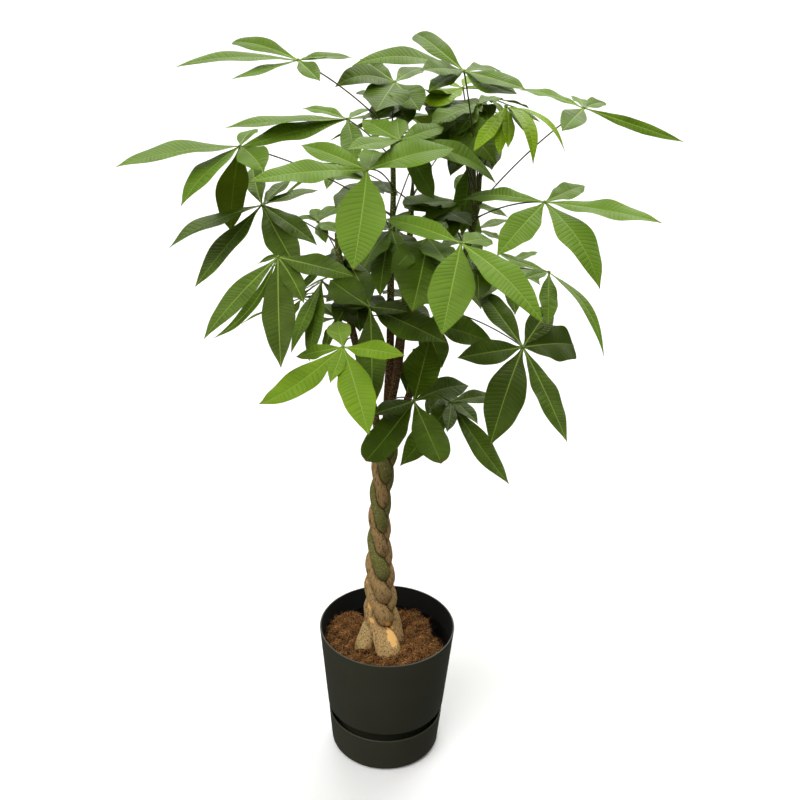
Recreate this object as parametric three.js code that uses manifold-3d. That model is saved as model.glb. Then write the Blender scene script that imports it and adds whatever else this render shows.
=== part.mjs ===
// A money tree, about 1.3 m tall. Five stems are braided into one trunk, and each ends in a shoot
// of long-stalked leaves whose leaflets spread like fingers. The trunk stands in a heap of coir
// in a black pot, and the pot stands in its own deep saucer.
// Millimetres, +Z up, +Y away from the viewer. The origin is the middle of the saucer's underside.
import * as THREE from "three";
import { mergeVertices } from "three/addons/utils/BufferGeometryUtils.js";
import Module from "manifold-3d";

const wasm = await Module();
wasm.setup();

// Pot and saucer: one straight cone from the rim to the ground, with a groove between the two
const RIM_RADIUS = 125;
const RIM_HEIGHT = 262;
const TAPER = 0.091; // radius lost for each millimetre down
const WALL = 3;
const POT_SKIRT = 94; // the lower edge of the pot's outer wall
const SAUCER_RIM = 76;
const FOOT_RADIUS = 90; // the narrower foot that goes down into the saucer
const FLOOR = 4; // thickness of the saucer's floor
const CLEARANCE = 0.3;
const ROUND_SIDES = 40;

// Soil
const SOIL_CREST = 241;
const SOIL_EDGE_DROP = 20; // how much lower the soil lies at the wall than at the trunk
const SOIL_RINGS = [0, 32, 60, 88];
const SOIL_SIDES = 26;

// Stems
const STEM_FOOT = [170, 200]; // the first rings of a stem, inside the soil
const BRAID_RINGS = [232, 640]; // closely spaced rings from the soil to where the shoots part
const STEM_SIDES = 6;
const BRAID_PITCH = 247; // height in which a stem makes one whole round of the braid
const BRAID_TURN = 55; // degrees by which the flat side of the braid faces right
const BRAID_START = 529; // a stem passes under its neighbour in front at this height
const BRAID_PHASE = 282; // degrees
const BRAID_SPAN = [262, 622]; // the stems wind about each other only between these heights
const BRAID_STEP = 12;
const SHOOT_STEP = 32;
const FOOT_BLEND = [232, 278]; // the splayed feet turn into the braid between these heights
const CROWN_BLEND = [615, 700]; // and the braid into free shoots between these
const PRESSED_GAP = 0.6; // keeps neighbours apart where their sides turn about each other

// Leaves
const BLADE_THICKNESS = 0.8;
const BLADE_SLENDERNESS = 0.32; // width over length, where no width is given
const BLADE_ARCH = 0.03; // rise of the middle over the straight line, over the length
const HUB_SIZE = [6, 6, 5];
const STALK_ROOT_RADIUS = 2.7;
const STALK_TIP_RADIUS = 1.8;
const STALK_SIDES = 4;
const STALK_STEPS = 4;
const STALK_GAP = 0.5; // between a stalk's root and the side of its stem
const STALK_BOW = 0.05; // rise of the middle over the straight line, over the length
const VIEWER_LEAN = 0.35; // how far the faces of a leaf lean towards the viewer, as a slope
const OUTWARD_LEAN = 0.25; // and how far away from its stem
const BLADE_START = 2.2; // a leaflet starts this far from the middle of its hub
const FAN_LEAFLETS = 6; // on each leaf of the hidden side
const FAN_HALF_ANGLE = 125; // degrees from the middle leaflet of that fan to its last one

// The reference picture's view: 800 x 800 pixels, from a point in front of the tree and above it
const VIEW_POINT = new THREE.Vector3(13.6, -1700, 1527);
const VIEW_PITCH = THREE.MathUtils.degToRad(25.3);
const VIEW_ROLL = THREE.MathUtils.degToRad(1.42);
const VIEW_FOCAL = 1116; // pixels
const VIEW_CENTRE = 400; // pixels

// The direction in which the viewer sees a pixel
function viewRay([u, v]) {
  const right = (u - VIEW_CENTRE) * Math.cos(VIEW_ROLL) + (v - VIEW_CENTRE) * Math.sin(VIEW_ROLL);
  const up = (u - VIEW_CENTRE) * Math.sin(VIEW_ROLL) - (v - VIEW_CENTRE) * Math.cos(VIEW_ROLL);
  return new THREE.Vector3(
    right / VIEW_FOCAL,
    Math.cos(VIEW_PITCH) + (up / VIEW_FOCAL) * Math.sin(VIEW_PITCH),
    -Math.sin(VIEW_PITCH) + (up / VIEW_FOCAL) * Math.cos(VIEW_PITCH),
  );
}

// The point at a pixel whose y is the given depth
function pointAtDepth(pixel, depth) {
  const ray = viewRay(pixel);
  return VIEW_POINT.clone().addScaledVector(ray, (depth - VIEW_POINT.y) / ray.y);
}

// The point at a pixel that lies the given length away from a start, on the viewer's side of it,
// or on the far side where the length is negative
function pointAtLength(start, pixel, length) {
  const ray = viewRay(pixel).normalize();
  const toStart = start.clone().sub(VIEW_POINT);
  const nearest = toStart.dot(ray);
  const offset = Math.sqrt(Math.max(length * length - (toStart.lengthSq() - nearest * nearest), 0));
  return VIEW_POINT.clone().addScaledVector(ray, nearest - Math.sign(length) * offset);
}

// A smooth curve through the rows [position, value, ...], with the slope at each row taken from
// its two neighbours
function smoothTable(rows, position, column = 1) {
  const last = rows.length - 1;
  if (position <= rows[0][0]) return rows[0][column];
  if (position >= rows[last][0]) return rows[last][column];
  const k = rows.findIndex((row) => row[0] > position) - 1;
  const slope = (i) => {
    const before = rows[Math.max(i - 1, 0)];
    const after = rows[Math.min(i + 1, last)];
    return (after[column] - before[column]) / (after[0] - before[0]);
  };
  const span = rows[k + 1][0] - rows[k][0];
  const t = (position - rows[k][0]) / span;
  const rise = rows[k + 1][column] - rows[k][column];
  const bend = t * (1 - t) * ((1 - t) * (slope(k) * span - rise) - t * (slope(k + 1) * span - rise));
  return rows[k][column] + rise * t + bend;
}

// Closed solids

// Skins rings with the same number of points into one closed solid. Quads of the sides named in
// mirrored are split the other way, so that a thin blade has both its faces split alike.
function loft(rings, mirrored = []) {
  const count = rings[0].length;
  const index = [];
  for (let j = 0; j < rings.length - 1; j += 1) {
    for (let i = 0; i < count; i += 1) {
      const a = j * count + i;
      const b = j * count + ((i + 1) % count);
      const [c, d] = [a + count, b + count];
      index.push(...(mirrored.includes(i) ? [a, b, d, a, d, c] : [a, b, c, b, d, c]));
    }
  }
  const end = (rings.length - 1) * count;
  for (let i = 1; i < count - 1; i += 1) {
    index.push(0, i + 1, i, end, end + i, end + i + 1);
  }
  const geometry = new THREE.BufferGeometry().setFromPoints(rings.flat());
  geometry.setIndex(index);
  return geometry;
}

// A closed geometry as a solid, turned inside out if its faces point inwards
function toSolid(geometry) {
  geometry.deleteAttribute("normal");
  geometry.deleteAttribute("uv");
  const merged = mergeVertices(geometry, 1e-4);
  const points = merged.attributes.position;
  const index = Array.from(merged.index.array);
  const corner = (k) => new THREE.Vector3().fromBufferAttribute(points, index[k]);
  const triangles = [];
  let volume = 0;
  for (let k = 0; k < index.length; k += 3) {
    const [a, b, c] = [index[k], index[k + 1], index[k + 2]];
    if (a === b || b === c || c === a) continue;
    triangles.push([a, b, c]);
    volume += corner(k).dot(corner(k + 1).cross(corner(k + 2)));
  }
  if (volume < 0) triangles.forEach((triangle) => triangle.reverse());
  return new wasm.Manifold(new wasm.Mesh({
    numProp: 3,
    vertProperties: Float32Array.from(points.array),
    triVerts: Uint32Array.from(triangles.flat()),
  }));
}

function toGeometry(solid) {
  const mesh = solid.getMesh();
  const geometry = new THREE.BufferGeometry();
  geometry.setAttribute("position", new THREE.BufferAttribute(mesh.vertProperties, 3));
  geometry.setIndex(new THREE.BufferAttribute(mesh.triVerts, 1));
  geometry.computeVertexNormals();
  return geometry;
}

// A profile of [radius, height] points turned about the vertical axis
function turned(profile, sides = ROUND_SIDES) {
  const points = profile.map(([radius, height]) => new THREE.Vector2(radius, height));
  return new THREE.LatheGeometry(points, sides).rotateX(Math.PI / 2);
}

// Pot and saucer

const wallRadius = (height) => RIM_RADIUS - TAPER * (RIM_HEIGHT - height);

function potGeometry() {
  const foot = FLOOR + CLEARANCE;
  const chamfer = 4;
  const inner = POT_SKIRT + WALL;
  return turned([
    [0, foot], [FOOT_RADIUS - chamfer, foot], [FOOT_RADIUS, foot + chamfer],
    [FOOT_RADIUS, POT_SKIRT], [wallRadius(POT_SKIRT), POT_SKIRT], [RIM_RADIUS, RIM_HEIGHT],
    [RIM_RADIUS - WALL, RIM_HEIGHT], [wallRadius(inner) - WALL, inner],
    [FOOT_RADIUS - WALL, inner], [FOOT_RADIUS - WALL, foot + WALL], [0, foot + WALL],
  ]);
}

function saucerGeometry() {
  const edge = 11; // radius of the rounded lower edge
  const edgeTop = wallRadius(edge);
  const flat = edgeTop - edge;
  return turned([
    [0, 0], [flat, 0], [flat + edge * 0.5, edge * 0.134], [flat + edge * 0.866, edge * 0.5],
    [edgeTop, edge], [wallRadius(SAUCER_RIM), SAUCER_RIM],
    [wallRadius(SAUCER_RIM) - WALL, SAUCER_RIM], [edgeTop - WALL, edge + 1],
    [flat + 1, FLOOR], [0, FLOOR],
  ]);
}

// Stems

// Half the trunk's width by height, and the middle of the trunk
const TRUNK_HALF_WIDTH = [
  [240, 35], [284, 30.5], [317, 28.5], [359, 26.5], [402, 24], [440, 20.5], [521, 18.5],
  [570, 19], [620, 21.5],
];
const TRUNK_MIDDLE = [[240, -8, 0], [317, -13, 0], [430, -17, 0], [521, -17, 0], [620, -10, 4]];
const STRAND_SHARE = 0.28; // a strand's radius over half the trunk's width
const SWING_SHARE = 0.74; // how far a strand's middle swings, over the same
const BRAID_DEPTH_SHARE = 0.92; // the braid is a little thinner from front to back
const SHOOT_RADIUS = [
  [620, 6.4], [700, 6.8], [800, 6.6], [900, 5.8], [1000, 5], [1100, 4.2], [1200, 3.6],
];
const SHOOT_END_RADIUS = 2;
const SHOOT_TIP = 30; // a shoot tapers to its end over this length

// Each stem: its place in the braid, where its foot meets the soil, and its free shoot
// as rows of [height, x, y]
const STEMS = {
  stem_centre: {
    strand: 4, foot: [12, 23],
    shoot: [[640, -4, 3], [700, -8, 8], [797, -5, 12], [940, -6, 12], [1080, -5, 10], [1186, -9, 4]],
  },
  stem_right: {
    strand: 0, foot: [3, -44],
    shoot: [[640, 6, 7], [700, 20, 8], [800, 53, 14], [900, 88, 20], [1012, 121, 22], [1104, 131, 20]],
  },
  stem_left: {
    strand: 3, foot: [-18, 26],
    shoot: [[640, -26, 4], [700, -29, -4], [800, -52, -24], [900, -74, -32], [1022, -92, -34]],
  },
  stem_front: {
    strand: 2, foot: [15, -9],
    shoot: [[640, -12, -14], [700, -6, -26], [800, 8, -62], [900, 16, -84], [972, 20, -92]],
  },
  stem_back: {
    strand: 1, foot: [-42, -33],
    shoot: [[640, -10, 20], [700, -6, 34], [800, 10, 74], [900, 20, 104], [1062, 26, 132]],
  },
};
const STRAND_COUNT = Object.keys(STEMS).length;

const stemTop = (name) => STEMS[name].shoot.at(-1)[0];
const stemRadius = (height) => (height < SHOOT_RADIUS[0][0]
  ? STRAND_SHARE * smoothTable(TRUNK_HALF_WIDTH, height)
  : smoothTable(SHOOT_RADIUS, height));

// The corners of a six-sided stem stand out a little, so that it is as thick as a round one
function stemOuterRadius(name, height) {
  const tipFrom = stemTop(name) - SHOOT_TIP;
  const taper = Math.max(height - tipFrom, 0) / SHOOT_TIP;
  const full = 1.05 * stemRadius(Math.min(height, tipFrom));
  return THREE.MathUtils.lerp(full, SHOOT_END_RADIUS, taper);
}

// The middle of a stem at a height: the foot, the braid and the shoot, blended into each other.
// In the braid a stem swings left and right once while it swings forward and back twice.
function stemMiddle(name, height) {
  const { strand, foot, shoot } = STEMS[name];
  const halfWidth = smoothTable(TRUNK_HALF_WIDTH, height);
  const swing = halfWidth * SWING_SHARE;
  const wound = THREE.MathUtils.clamp(height, ...BRAID_SPAN);
  const degrees = (360 * (wound - BRAID_START)) / BRAID_PITCH + BRAID_PHASE
    + (360 * strand) / STRAND_COUNT;
  const phase = THREE.MathUtils.degToRad(degrees);
  const braid = new THREE.Vector2(
    swing * Math.sin(phase),
    -swing * BRAID_DEPTH_SHARE * Math.sin(2 * phase),
  ).rotateAround(new THREE.Vector2(), THREE.MathUtils.degToRad(BRAID_TURN));
  braid.x += smoothTable(TRUNK_MIDDLE, height, 1);
  braid.y += smoothTable(TRUNK_MIDDLE, height, 2);
  const free = new THREE.Vector2(smoothTable(shoot, height, 1), smoothTable(shoot, height, 2));
  const inBraid = THREE.MathUtils.smoothstep(height, ...FOOT_BLEND);
  const inCrown = THREE.MathUtils.smoothstep(height, ...CROWN_BLEND);
  return new THREE.Vector2(...foot).lerp(braid, inBraid).lerp(free, inCrown);
}

// A level ring round a stem. Where two stems press on each other, both are flattened at the line
// half-way between them.
function stemRing(name, height, radius, clearance) {
  const middle = stemMiddle(name, height);
  const others = Object.keys(STEMS).filter((other) => other !== name && height < stemTop(other) + 5)
    .map((other) => stemMiddle(other, height).sub(middle));
  return Array.from({ length: STEM_SIDES }, (_, i) => {
    const angle = (2 * Math.PI * (i + 0.5)) / STEM_SIDES;
    const out = new THREE.Vector2(Math.cos(angle), Math.sin(angle));
    let reach = radius;
    for (const other of others) {
      const facing = Math.max(out.dot(other) / other.length(), 0.05);
      reach = Math.min(reach, (other.length() / 2 - clearance) / facing);
    }
    return new THREE.Vector3(middle.x + out.x * reach, middle.y + out.y * reach, height);
  });
}

// A stem from its foot to the tip of its shoot, made thicker by grow for the holes cut for it
function stemGeometry(name, grow = 0) {
  const [braidFrom, braidTo] = BRAID_RINGS;
  const heights = [...STEM_FOOT];
  for (let height = braidFrom; height < braidTo; height += BRAID_STEP) heights.push(height);
  const tipFrom = stemTop(name) - SHOOT_TIP;
  const steps = Math.round((tipFrom - braidTo) / SHOOT_STEP);
  for (let k = 0; k <= steps; k += 1) {
    heights.push(THREE.MathUtils.lerp(braidTo, tipFrom, k / steps));
  }
  heights.push(stemTop(name));
  return loft(heights.map((height) => (
    stemRing(name, height, stemOuterRadius(name, height) + grow, PRESSED_GAP - grow)
  )));
}

// Soil

// The heap is highest left of the trunk and behind it on the right, and falls towards the wall
function soilHeight(x, y) {
  const out = Math.hypot(x, y) / RIM_RADIUS;
  const heaps = 7 * Math.exp(-((x + 58) ** 2 + (y - 10) ** 2) / 1500)
    + 9 * Math.exp(-((x - 48) ** 2 + (y - 42) ** 2) / 1300)
    - 6 * Math.exp(-((x - 70) ** 2 + (y + 40) ** 2) / 1600)
    + 2 * Math.sin(x / 9 + 1) * Math.cos(y / 11);
  return SOIL_CREST - SOIL_EDGE_DROP * out ** 3 + heaps;
}

function soilGeometry() {
  const top = SOIL_CREST;
  const inside = POT_SKIRT + WALL;
  const bottom = FLOOR + CLEARANCE + WALL + CLEARANCE;
  const outer = (height) => wallRadius(height) - WALL - CLEARANCE * 2;
  const geometry = turned([
    [0, bottom], [FOOT_RADIUS - WALL - CLEARANCE, bottom],
    [FOOT_RADIUS - WALL - CLEARANCE, inside + CLEARANCE], [outer(inside) - 0.5, inside + CLEARANCE],
    [outer(top - SOIL_EDGE_DROP), top],
    ...[...SOIL_RINGS].reverse().map((radius) => [radius, top]),
  ], SOIL_SIDES);
  const points = geometry.attributes.position;
  for (let i = 0; i < points.count; i += 1) {
    if (points.getZ(i) > top - 1) points.setZ(i, soilHeight(points.getX(i), points.getY(i)));
  }
  return geometry;
}

// Leaves

// A leaflet's outline as [place along it, share of its width, thickness]
const BLADE_OUTLINE = [
  [0, 0.04, 1.2], [0.3, 0.6, BLADE_THICKNESS], [0.58, 1, BLADE_THICKNESS],
  [0.83, 0.72, BLADE_THICKNESS], [1, 0, BLADE_THICKNESS],
];

// One leaflet from the hub to its tip, arched upwards, with its face towards up
function bladeGeometry(hub, tip, width, arch, roll, up) {
  const along = tip.clone().sub(hub).normalize();
  const start = hub.clone().addScaledVector(along, BLADE_START);
  const axis = tip.clone().sub(start);
  const length = axis.length();
  const face = up.clone().addScaledVector(along, -up.dot(along)).normalize();
  face.applyAxisAngle(along, THREE.MathUtils.degToRad(roll));
  const across = along.clone().cross(face);
  const rings = BLADE_OUTLINE.map(([place, share, thickness]) => {
    const rise = 4 * arch * length * place * (1 - place);
    const middle = start.clone().addScaledVector(axis, place).addScaledVector(face, rise);
    return [[-1, 1], [1, 1], [1, -1], [-1, -1]].map(([side, level]) => middle.clone()
      .addScaledVector(across, (side * width * share) / 2)
      .addScaledVector(face, (level * thickness) / 2));
  });
  return loft(rings, [2]);
}

// The stalk from its root to the hub, bowed upwards. Its first ring lies flat against the stem, and
// the others square to the stalk.
function stalkGeometry(root, hub, outward, stemAxis) {
  const bow = root.clone().lerp(hub, 0.5);
  bow.z += STALK_BOW * root.distanceTo(hub);
  const curve = new THREE.CatmullRomCurve3([root, bow, hub]);
  const side = outward.clone().cross(new THREE.Vector3(0, 0, 1)).normalize();
  const rings = Array.from({ length: STALK_STEPS + 1 }, (_, k) => {
    const share = k / STALK_STEPS;
    const middle = curve.getPointAt(share);
    const upward = k === 0 ? stemAxis : side.clone().cross(curve.getTangentAt(share));
    const radius = THREE.MathUtils.lerp(STALK_ROOT_RADIUS, STALK_TIP_RADIUS, share);
    return Array.from({ length: STALK_SIDES }, (__, i) => {
      const angle = (2 * Math.PI * i) / STALK_SIDES;
      return middle.clone()
        .addScaledVector(upward, radius * Math.cos(angle))
        .addScaledVector(side, radius * Math.sin(angle));
    });
  });
  return loft(rings);
}

const leaves = [];

// A leaf that the picture shows. It grows from a stem at the root height. The hub, where the
// leaflets meet, is at a pixel and a depth. Each leaflet is [tip u, tip v, length, width, arch,
// roll]: its tip is at the pixel (u, v), and its length is negative where it points away from the
// viewer. The other three have defaults.
function leaf(name, { stem, root, hubPixel, depth }, leaflets, { lean = VIEWER_LEAN, young } = {}) {
  const hub = pointAtDepth(hubPixel, depth);
  const blades = leaflets.map(([u, v, length, width, arch, roll]) => ({
    tip: pointAtLength(hub, [u, v], length),
    width: width ?? BLADE_SLENDERNESS * Math.abs(length),
    arch: arch ?? BLADE_ARCH,
    roll: roll ?? 0,
  }));
  leaves.push({ name, stem, root, hub, blades, lean, young });
}

// A leaf on the side that the picture doesn't show. Its hub lies at a bearing (0 is +X, 90 is
// away from the viewer), a reach and a rise from its root, and its leaflets fan out evenly.
function hiddenLeaf(name, { stem, root, bearing, reach, rise, length }) {
  const middle = stemMiddle(stem, root);
  const heading = THREE.MathUtils.degToRad(bearing);
  const hub = new THREE.Vector3(
    middle.x + reach * Math.cos(heading),
    middle.y + reach * Math.sin(heading),
    root + rise,
  );
  const blades = Array.from({ length: FAN_LEAFLETS }, (_, k) => {
    const share = (2 * k) / (FAN_LEAFLETS - 1) - 1; // -1 to 1 across the fan
    const size = length * (1 - 0.38 * share ** 2 + 0.05 * Math.sin(7 * k + root));
    const turn = heading + THREE.MathUtils.degToRad(FAN_HALF_ANGLE * share);
    const dip = THREE.MathUtils.degToRad(16 + 12 * share ** 2 + 8 * Math.sin(3 * k + bearing));
    const tip = new THREE.Vector3(
      Math.cos(turn) * Math.cos(dip),
      Math.sin(turn) * Math.cos(dip),
      -Math.sin(dip),
    ).multiplyScalar(size).add(hub);
    return { tip, width: BLADE_SLENDERNESS * size, arch: BLADE_ARCH, roll: 0 };
  });
  leaves.push({ name, stem, root, hub, blades, lean: 0 });
}

// The top of the tree
leaf("leaf_01", { stem: "stem_centre", root: 1172, hubPixel: [298, 60], depth: -30 }, [
  [176, 67, 182, 38, 0.07], [233, 39, -130, 40, 0.06], [232, 79, 125, 34, 0], [320, 81, 90, 34],
  [352, 58, -105, 32, 0.06], [330, 57, -60],
]);
leaf("leaf_02", { stem: "stem_right", root: 1086, hubPixel: [464, 71], depth: -40 }, [
  [416, 34, -140, 48, 0], [352, 66, 185, 56, 0.12], [421, 70, 110, 40], [525, 89, 150, 40, 0],
  [501, 71, -110], [517, 94, 120], [428, 92, 95],
]);
leaf("leaf_03", { stem: "stem_centre", root: 1180, hubPixel: [395, 82], depth: 70 }, [
  [335, 87, 100, 52, 0.16], [376, 112, 120, 66], [420, 111, 110, 46], [360, 59, -120, 34],
  [424, 68, -110],
], { lean: 0.8 });
leaf("leaf_04", { stem: "stem_centre", root: 1130, hubPixel: [347, 119], depth: 60 }, [
  [225, 128, 200, 52], [241, 147, 185, 50], [301, 109, -130, 44], [371, 109, -90],
  [440, 117, -160, 44], [355, 165, 120, 40],
]);
leaf("leaf_05", { stem: "stem_centre", root: 1130, hubPixel: [400, 140], depth: -90 }, [
  [362, 120, -80, 40], [398, 119, -70, 34], [347, 150, 125, 36], [496, 184, -175, 46, 0.1],
  [434, 199, -120, 42], [444, 127, -95, 36],
]);
leaf("leaf_06", { stem: "stem_right", root: 1064, hubPixel: [463, 88], depth: 100 }, [
  [430, 107, 80, 44], [499, 93, -80, 40], [428, 80, -80], [474, 76, -70],
]);
leaf("leaf_07", { stem: "stem_right", root: 1096, hubPixel: [478, 104], depth: 45 }, [
  [431, 126, 100, 54], [458, 135, 70, 30], [493, 117, -60, 36], [501, 98, -80, 36],
]);
leaf("leaf_08", { stem: "stem_right", root: 1046, hubPixel: [474, 134], depth: 170 }, [
  [441, 132, -120, 52], [492, 170, 130, 50], [450, 176, 130, 44], [505, 140, -110],
]);
leaf("leaf_09", { stem: "stem_right", root: 1103, hubPixel: [506, 106], depth: -30 }, [
  [473, 152, 105, 26], [499, 156, 90, 22], [508, 148, 80, 20], [533, 165, 130, 26, 0.2],
  [529, 136, 70, 18], [540, 122, 70, 16], [565, 152, 130, 14, 0.16],
], { lean: 0, young: true });
leaf("leaf_10", { stem: "stem_right", root: 1058, hubPixel: [584, 108], depth: -10 }, [
  [518, 90, -120, 30, 0.05], [572, 96, -80], [606, 103, -85], [562, 131, 105, 44],
  [684, 142, 178, 30, 0, -30],
]);

// The upper left
leaf("leaf_11", { stem: "stem_centre", root: 1040, hubPixel: [240, 146], depth: -20 }, [
  [116, 167, 200, 60, 0.06], [181, 206, 155, 46, 0.1], [231, 232, -165, 52], [264, 172, 110, 46],
  [256, 129, -110, 40],
]);
leaf("leaf_12", { stem: "stem_left", root: 1008, hubPixel: [262, 205], depth: 10 }, [
  [169, 248, 178, 48], [195, 287, 178, 50], [300, 274, 145, 46], [317, 245, 120, 36],
  [253, 166, -110], [290, 180, -100], [318, 190, -115],
]);
leaf("leaf_13", { stem: "stem_left", root: 950, hubPixel: [278, 257], depth: -165 }, [
  [204, 339, 180, 48], [281, 368, 185, 58], [214, 338, -165, 26, -0.1], [355, 277, 130, 44],
  [304, 303, 95], [258, 264, -70],
]);
leaf("leaf_14", { stem: "stem_left", root: 905, hubPixel: [322, 281], depth: 10 }, [
  [349, 320, -95, 40], [291, 353, 150, 28], [309, 362, 150, 32], [300, 300, -80],
]);
leaf("leaf_15", { stem: "stem_left", root: 985, hubPixel: [318, 222], depth: 60 }, [
  [300, 216, -80], [313, 209, -90, 30], [339, 233, 80, 30], [340, 206, -110, 34], [326, 243, 70],
]);

// The middle, towards the viewer
leaf("leaf_16", { stem: "stem_centre", root: 1085, hubPixel: [367, 170], depth: -170 }, [
  [248, 182, 180, 58], [301, 145, -135, 40], [374, 150, -95, 40], [455, 149, -150, 58, 0.04],
  [353, 271, 165, 74],
]);
leaf("leaf_17", { stem: "stem_right", root: 935, hubPixel: [461, 243], depth: -230 }, [
  [385, 219, -135, 44], [442, 336, 150, 66], [544, 325, 182, 50, 0.1], [492, 240, -90, 40],
]);
leaf("leaf_18", { stem: "stem_front", root: 900, hubPixel: [370, 307], depth: -125 }, [
  [352, 268, -120, 40], [330, 280, -110, 40], [341, 306, -65],
  [372, 411, 180, 50], [408, 312, 80, 36], [446, 343, 140, 54],
]);
leaf("leaf_19", { stem: "stem_left", root: 838, hubPixel: [343, 347], depth: -250 }, [
  [259, 404, 160, 52, -0.05], [369, 436, 165, 62], [405, 356, 110, 36], [338, 321, -85, 34],
  [330, 383, 75], [296, 357, -85],
]);
leaf("leaf_20", { stem: "stem_front", root: 748, hubPixel: [414, 401], depth: -130 }, [
  [366, 461, 140, 58], [372, 415, 95, 34], [441, 463, 120, 56], [469, 386, -110, 46],
  [430, 338, 112, 46],
]);
leaf("leaf_21", { stem: "stem_right", root: 742, hubPixel: [451, 402], depth: -30 }, [
  [509, 484, 168, 46], [400, 466, 140, 46], [495, 396, -100], [447, 432, 80],
]);

// The right
leaf("leaf_22", { stem: "stem_right", root: 1036, hubPixel: [545, 202], depth: -90 }, [
  [462, 201, -145, 36], [497, 256, 140, 46], [600, 289, 172, 60, 0.1], [662, 223, 192, 46],
  [585, 186, -115, 34],
]);
leaf("leaf_23", { stem: "stem_right", root: 880, hubPixel: [523, 347], depth: -80 }, [
  [457, 358, 120, 44], [490, 446, 182, 72], [567, 442, 178, 46], [573, 345, -115, 70],
  [552, 305, -110, 44], [480, 289, -150, 46],
], { lean: 0.9 });
leaf("leaf_24", { stem: "stem_right", root: 945, hubPixel: [549, 272], depth: -40 }, [
  [604, 357, 182, 30, 0.17], [497, 252, -110, 36], [548, 326, 105, 30], [524, 279, 70],
]);
leaf("leaf_25", { stem: "stem_right", root: 1012, hubPixel: [461, 202], depth: 110 }, [
  [405, 208, 130, 46], [426, 225, 110, 36], [470, 172, -110, 40], [508, 217, 90, 30],
  [480, 240, 70, 36],
]);
leaf("leaf_26", { stem: "stem_front", root: 945, hubPixel: [428, 238], depth: -135 }, [
  [412, 312, 140, 66], [391, 274, 95, 32], [449, 266, 100, 44], [446, 222, -80],
]);
leaf("leaf_27", { stem: "stem_right", root: 968, hubPixel: [476, 230], depth: 160 }, [
  [512, 220, -100, 36], [500, 240, 80], [468, 268, 110], [440, 250, 100],
]);
leaf("leaf_28", { stem: "stem_right", root: 925, hubPixel: [508, 262], depth: 110 }, [
  [538, 252, -90, 26], [540, 285, 100], [515, 315, 120], [480, 300, 120],
]);
leaf("leaf_29", { stem: "stem_right", root: 850, hubPixel: [425, 322], depth: -30 }, [
  [442, 368, 90, 44], [494, 344, -118, 50], [464, 314, 75, 36], [404, 300, -80],
]);
leaf("leaf_30", { stem: "stem_front", root: 965, hubPixel: [391, 229], depth: -95 }, [
  [380, 297, 140, 36], [364, 268, 110, 40], [358, 232, 80], [410, 211, -90], [402, 262, 80],
]);

// The side that the picture doesn't show
hiddenLeaf("leaf_31", {
  stem: "stem_back", root: 1055, bearing: 95, reach: 150, rise: 90, length: 165,
});
hiddenLeaf("leaf_32", {
  stem: "stem_back", root: 1030, bearing: 135, reach: 190, rise: 30, length: 125,
});
hiddenLeaf("leaf_33", {
  stem: "stem_back", root: 1040, bearing: 60, reach: 280, rise: 120, length: 105,
});
hiddenLeaf("leaf_34", {
  stem: "stem_back", root: 900, bearing: 110, reach: 220, rise: -40, length: 170,
});
hiddenLeaf("leaf_35", {
  stem: "stem_left", root: 960, bearing: 100, reach: 160, rise: -30, length: 140,
});
hiddenLeaf("leaf_36", {
  stem: "stem_back", root: 880, bearing: 60, reach: 190, rise: -10, length: 170,
});
hiddenLeaf("leaf_37", {
  stem: "stem_centre", root: 1160, bearing: 50, reach: 140, rise: 0, length: 110,
});
leaf("leaf_38", { stem: "stem_centre", root: 1010, hubPixel: [366, 180], depth: 90 }, [
  [335, 208, 110, 44], [330, 176, -110, 44], [384, 194, 90, 30], [352, 160, -100], [398, 196, 90],
]);
hiddenLeaf("leaf_39", {
  stem: "stem_left", root: 900, bearing: 120, reach: 170, rise: -40, length: 140,
});
hiddenLeaf("leaf_40", {
  stem: "stem_back", root: 830, bearing: 130, reach: 190, rise: -50, length: 140,
});

// A leaf as one solid. Its stalk starts at the side of the stem that faces the hub.
function leafSolid({ stem, root, hub, blades, lean }) {
  const middle = stemMiddle(stem, root);
  const above = stemMiddle(stem, root + 1);
  const stemAxis = new THREE.Vector3(above.x - middle.x, above.y - middle.y, 1).normalize();
  const outward = new THREE.Vector3(hub.x - middle.x, hub.y - middle.y, 0).normalize();
  const corner = (2 * Math.PI) / STEM_SIDES;
  const heading = Math.atan2(outward.y, outward.x);
  const offCorner = ((heading % corner) + corner) % corner - corner / 2;
  const reach = (stemOuterRadius(stem, root) * Math.cos(corner / 2))
    / Math.cos(corner / 2 - Math.abs(offCorner));
  const start = new THREE.Vector3(middle.x, middle.y, root)
    .addScaledVector(outward, reach + STALK_GAP);
  const up = new THREE.Vector3(0, -lean, 1).addScaledVector(outward, OUTWARD_LEAN).normalize();
  const knob = new THREE.BoxGeometry(...HUB_SIZE).translate(hub.x, hub.y, hub.z);
  let solid = toSolid(knob).add(toSolid(stalkGeometry(start, hub, outward, stemAxis)));
  for (const { tip, width, arch, roll } of blades) {
    solid = solid.add(toSolid(bladeGeometry(hub, tip, width, arch, roll, up)));
  }
  return solid;
}

// Everything together

const paint = (color, roughness) => new THREE.MeshStandardMaterial({ color, roughness, metalness: 0 });
const plastic = paint(0x2c2d27, 0.55);
const peat = paint(0x7a5030, 0.95);
const bark = paint(0x86704a, 0.85);
const green = paint(0x4f7a2c, 0.4);
const freshGreen = paint(0x7ea52a, 0.4);

const tree = new THREE.Group();

function place(name, geometry, material) {
  const mesh = new THREE.Mesh(geometry, material);
  mesh.name = name;
  tree.add(mesh);
}

place("pot", toGeometry(toSolid(potGeometry())), plastic);
place("saucer", toGeometry(toSolid(saucerGeometry())), plastic);

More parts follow.
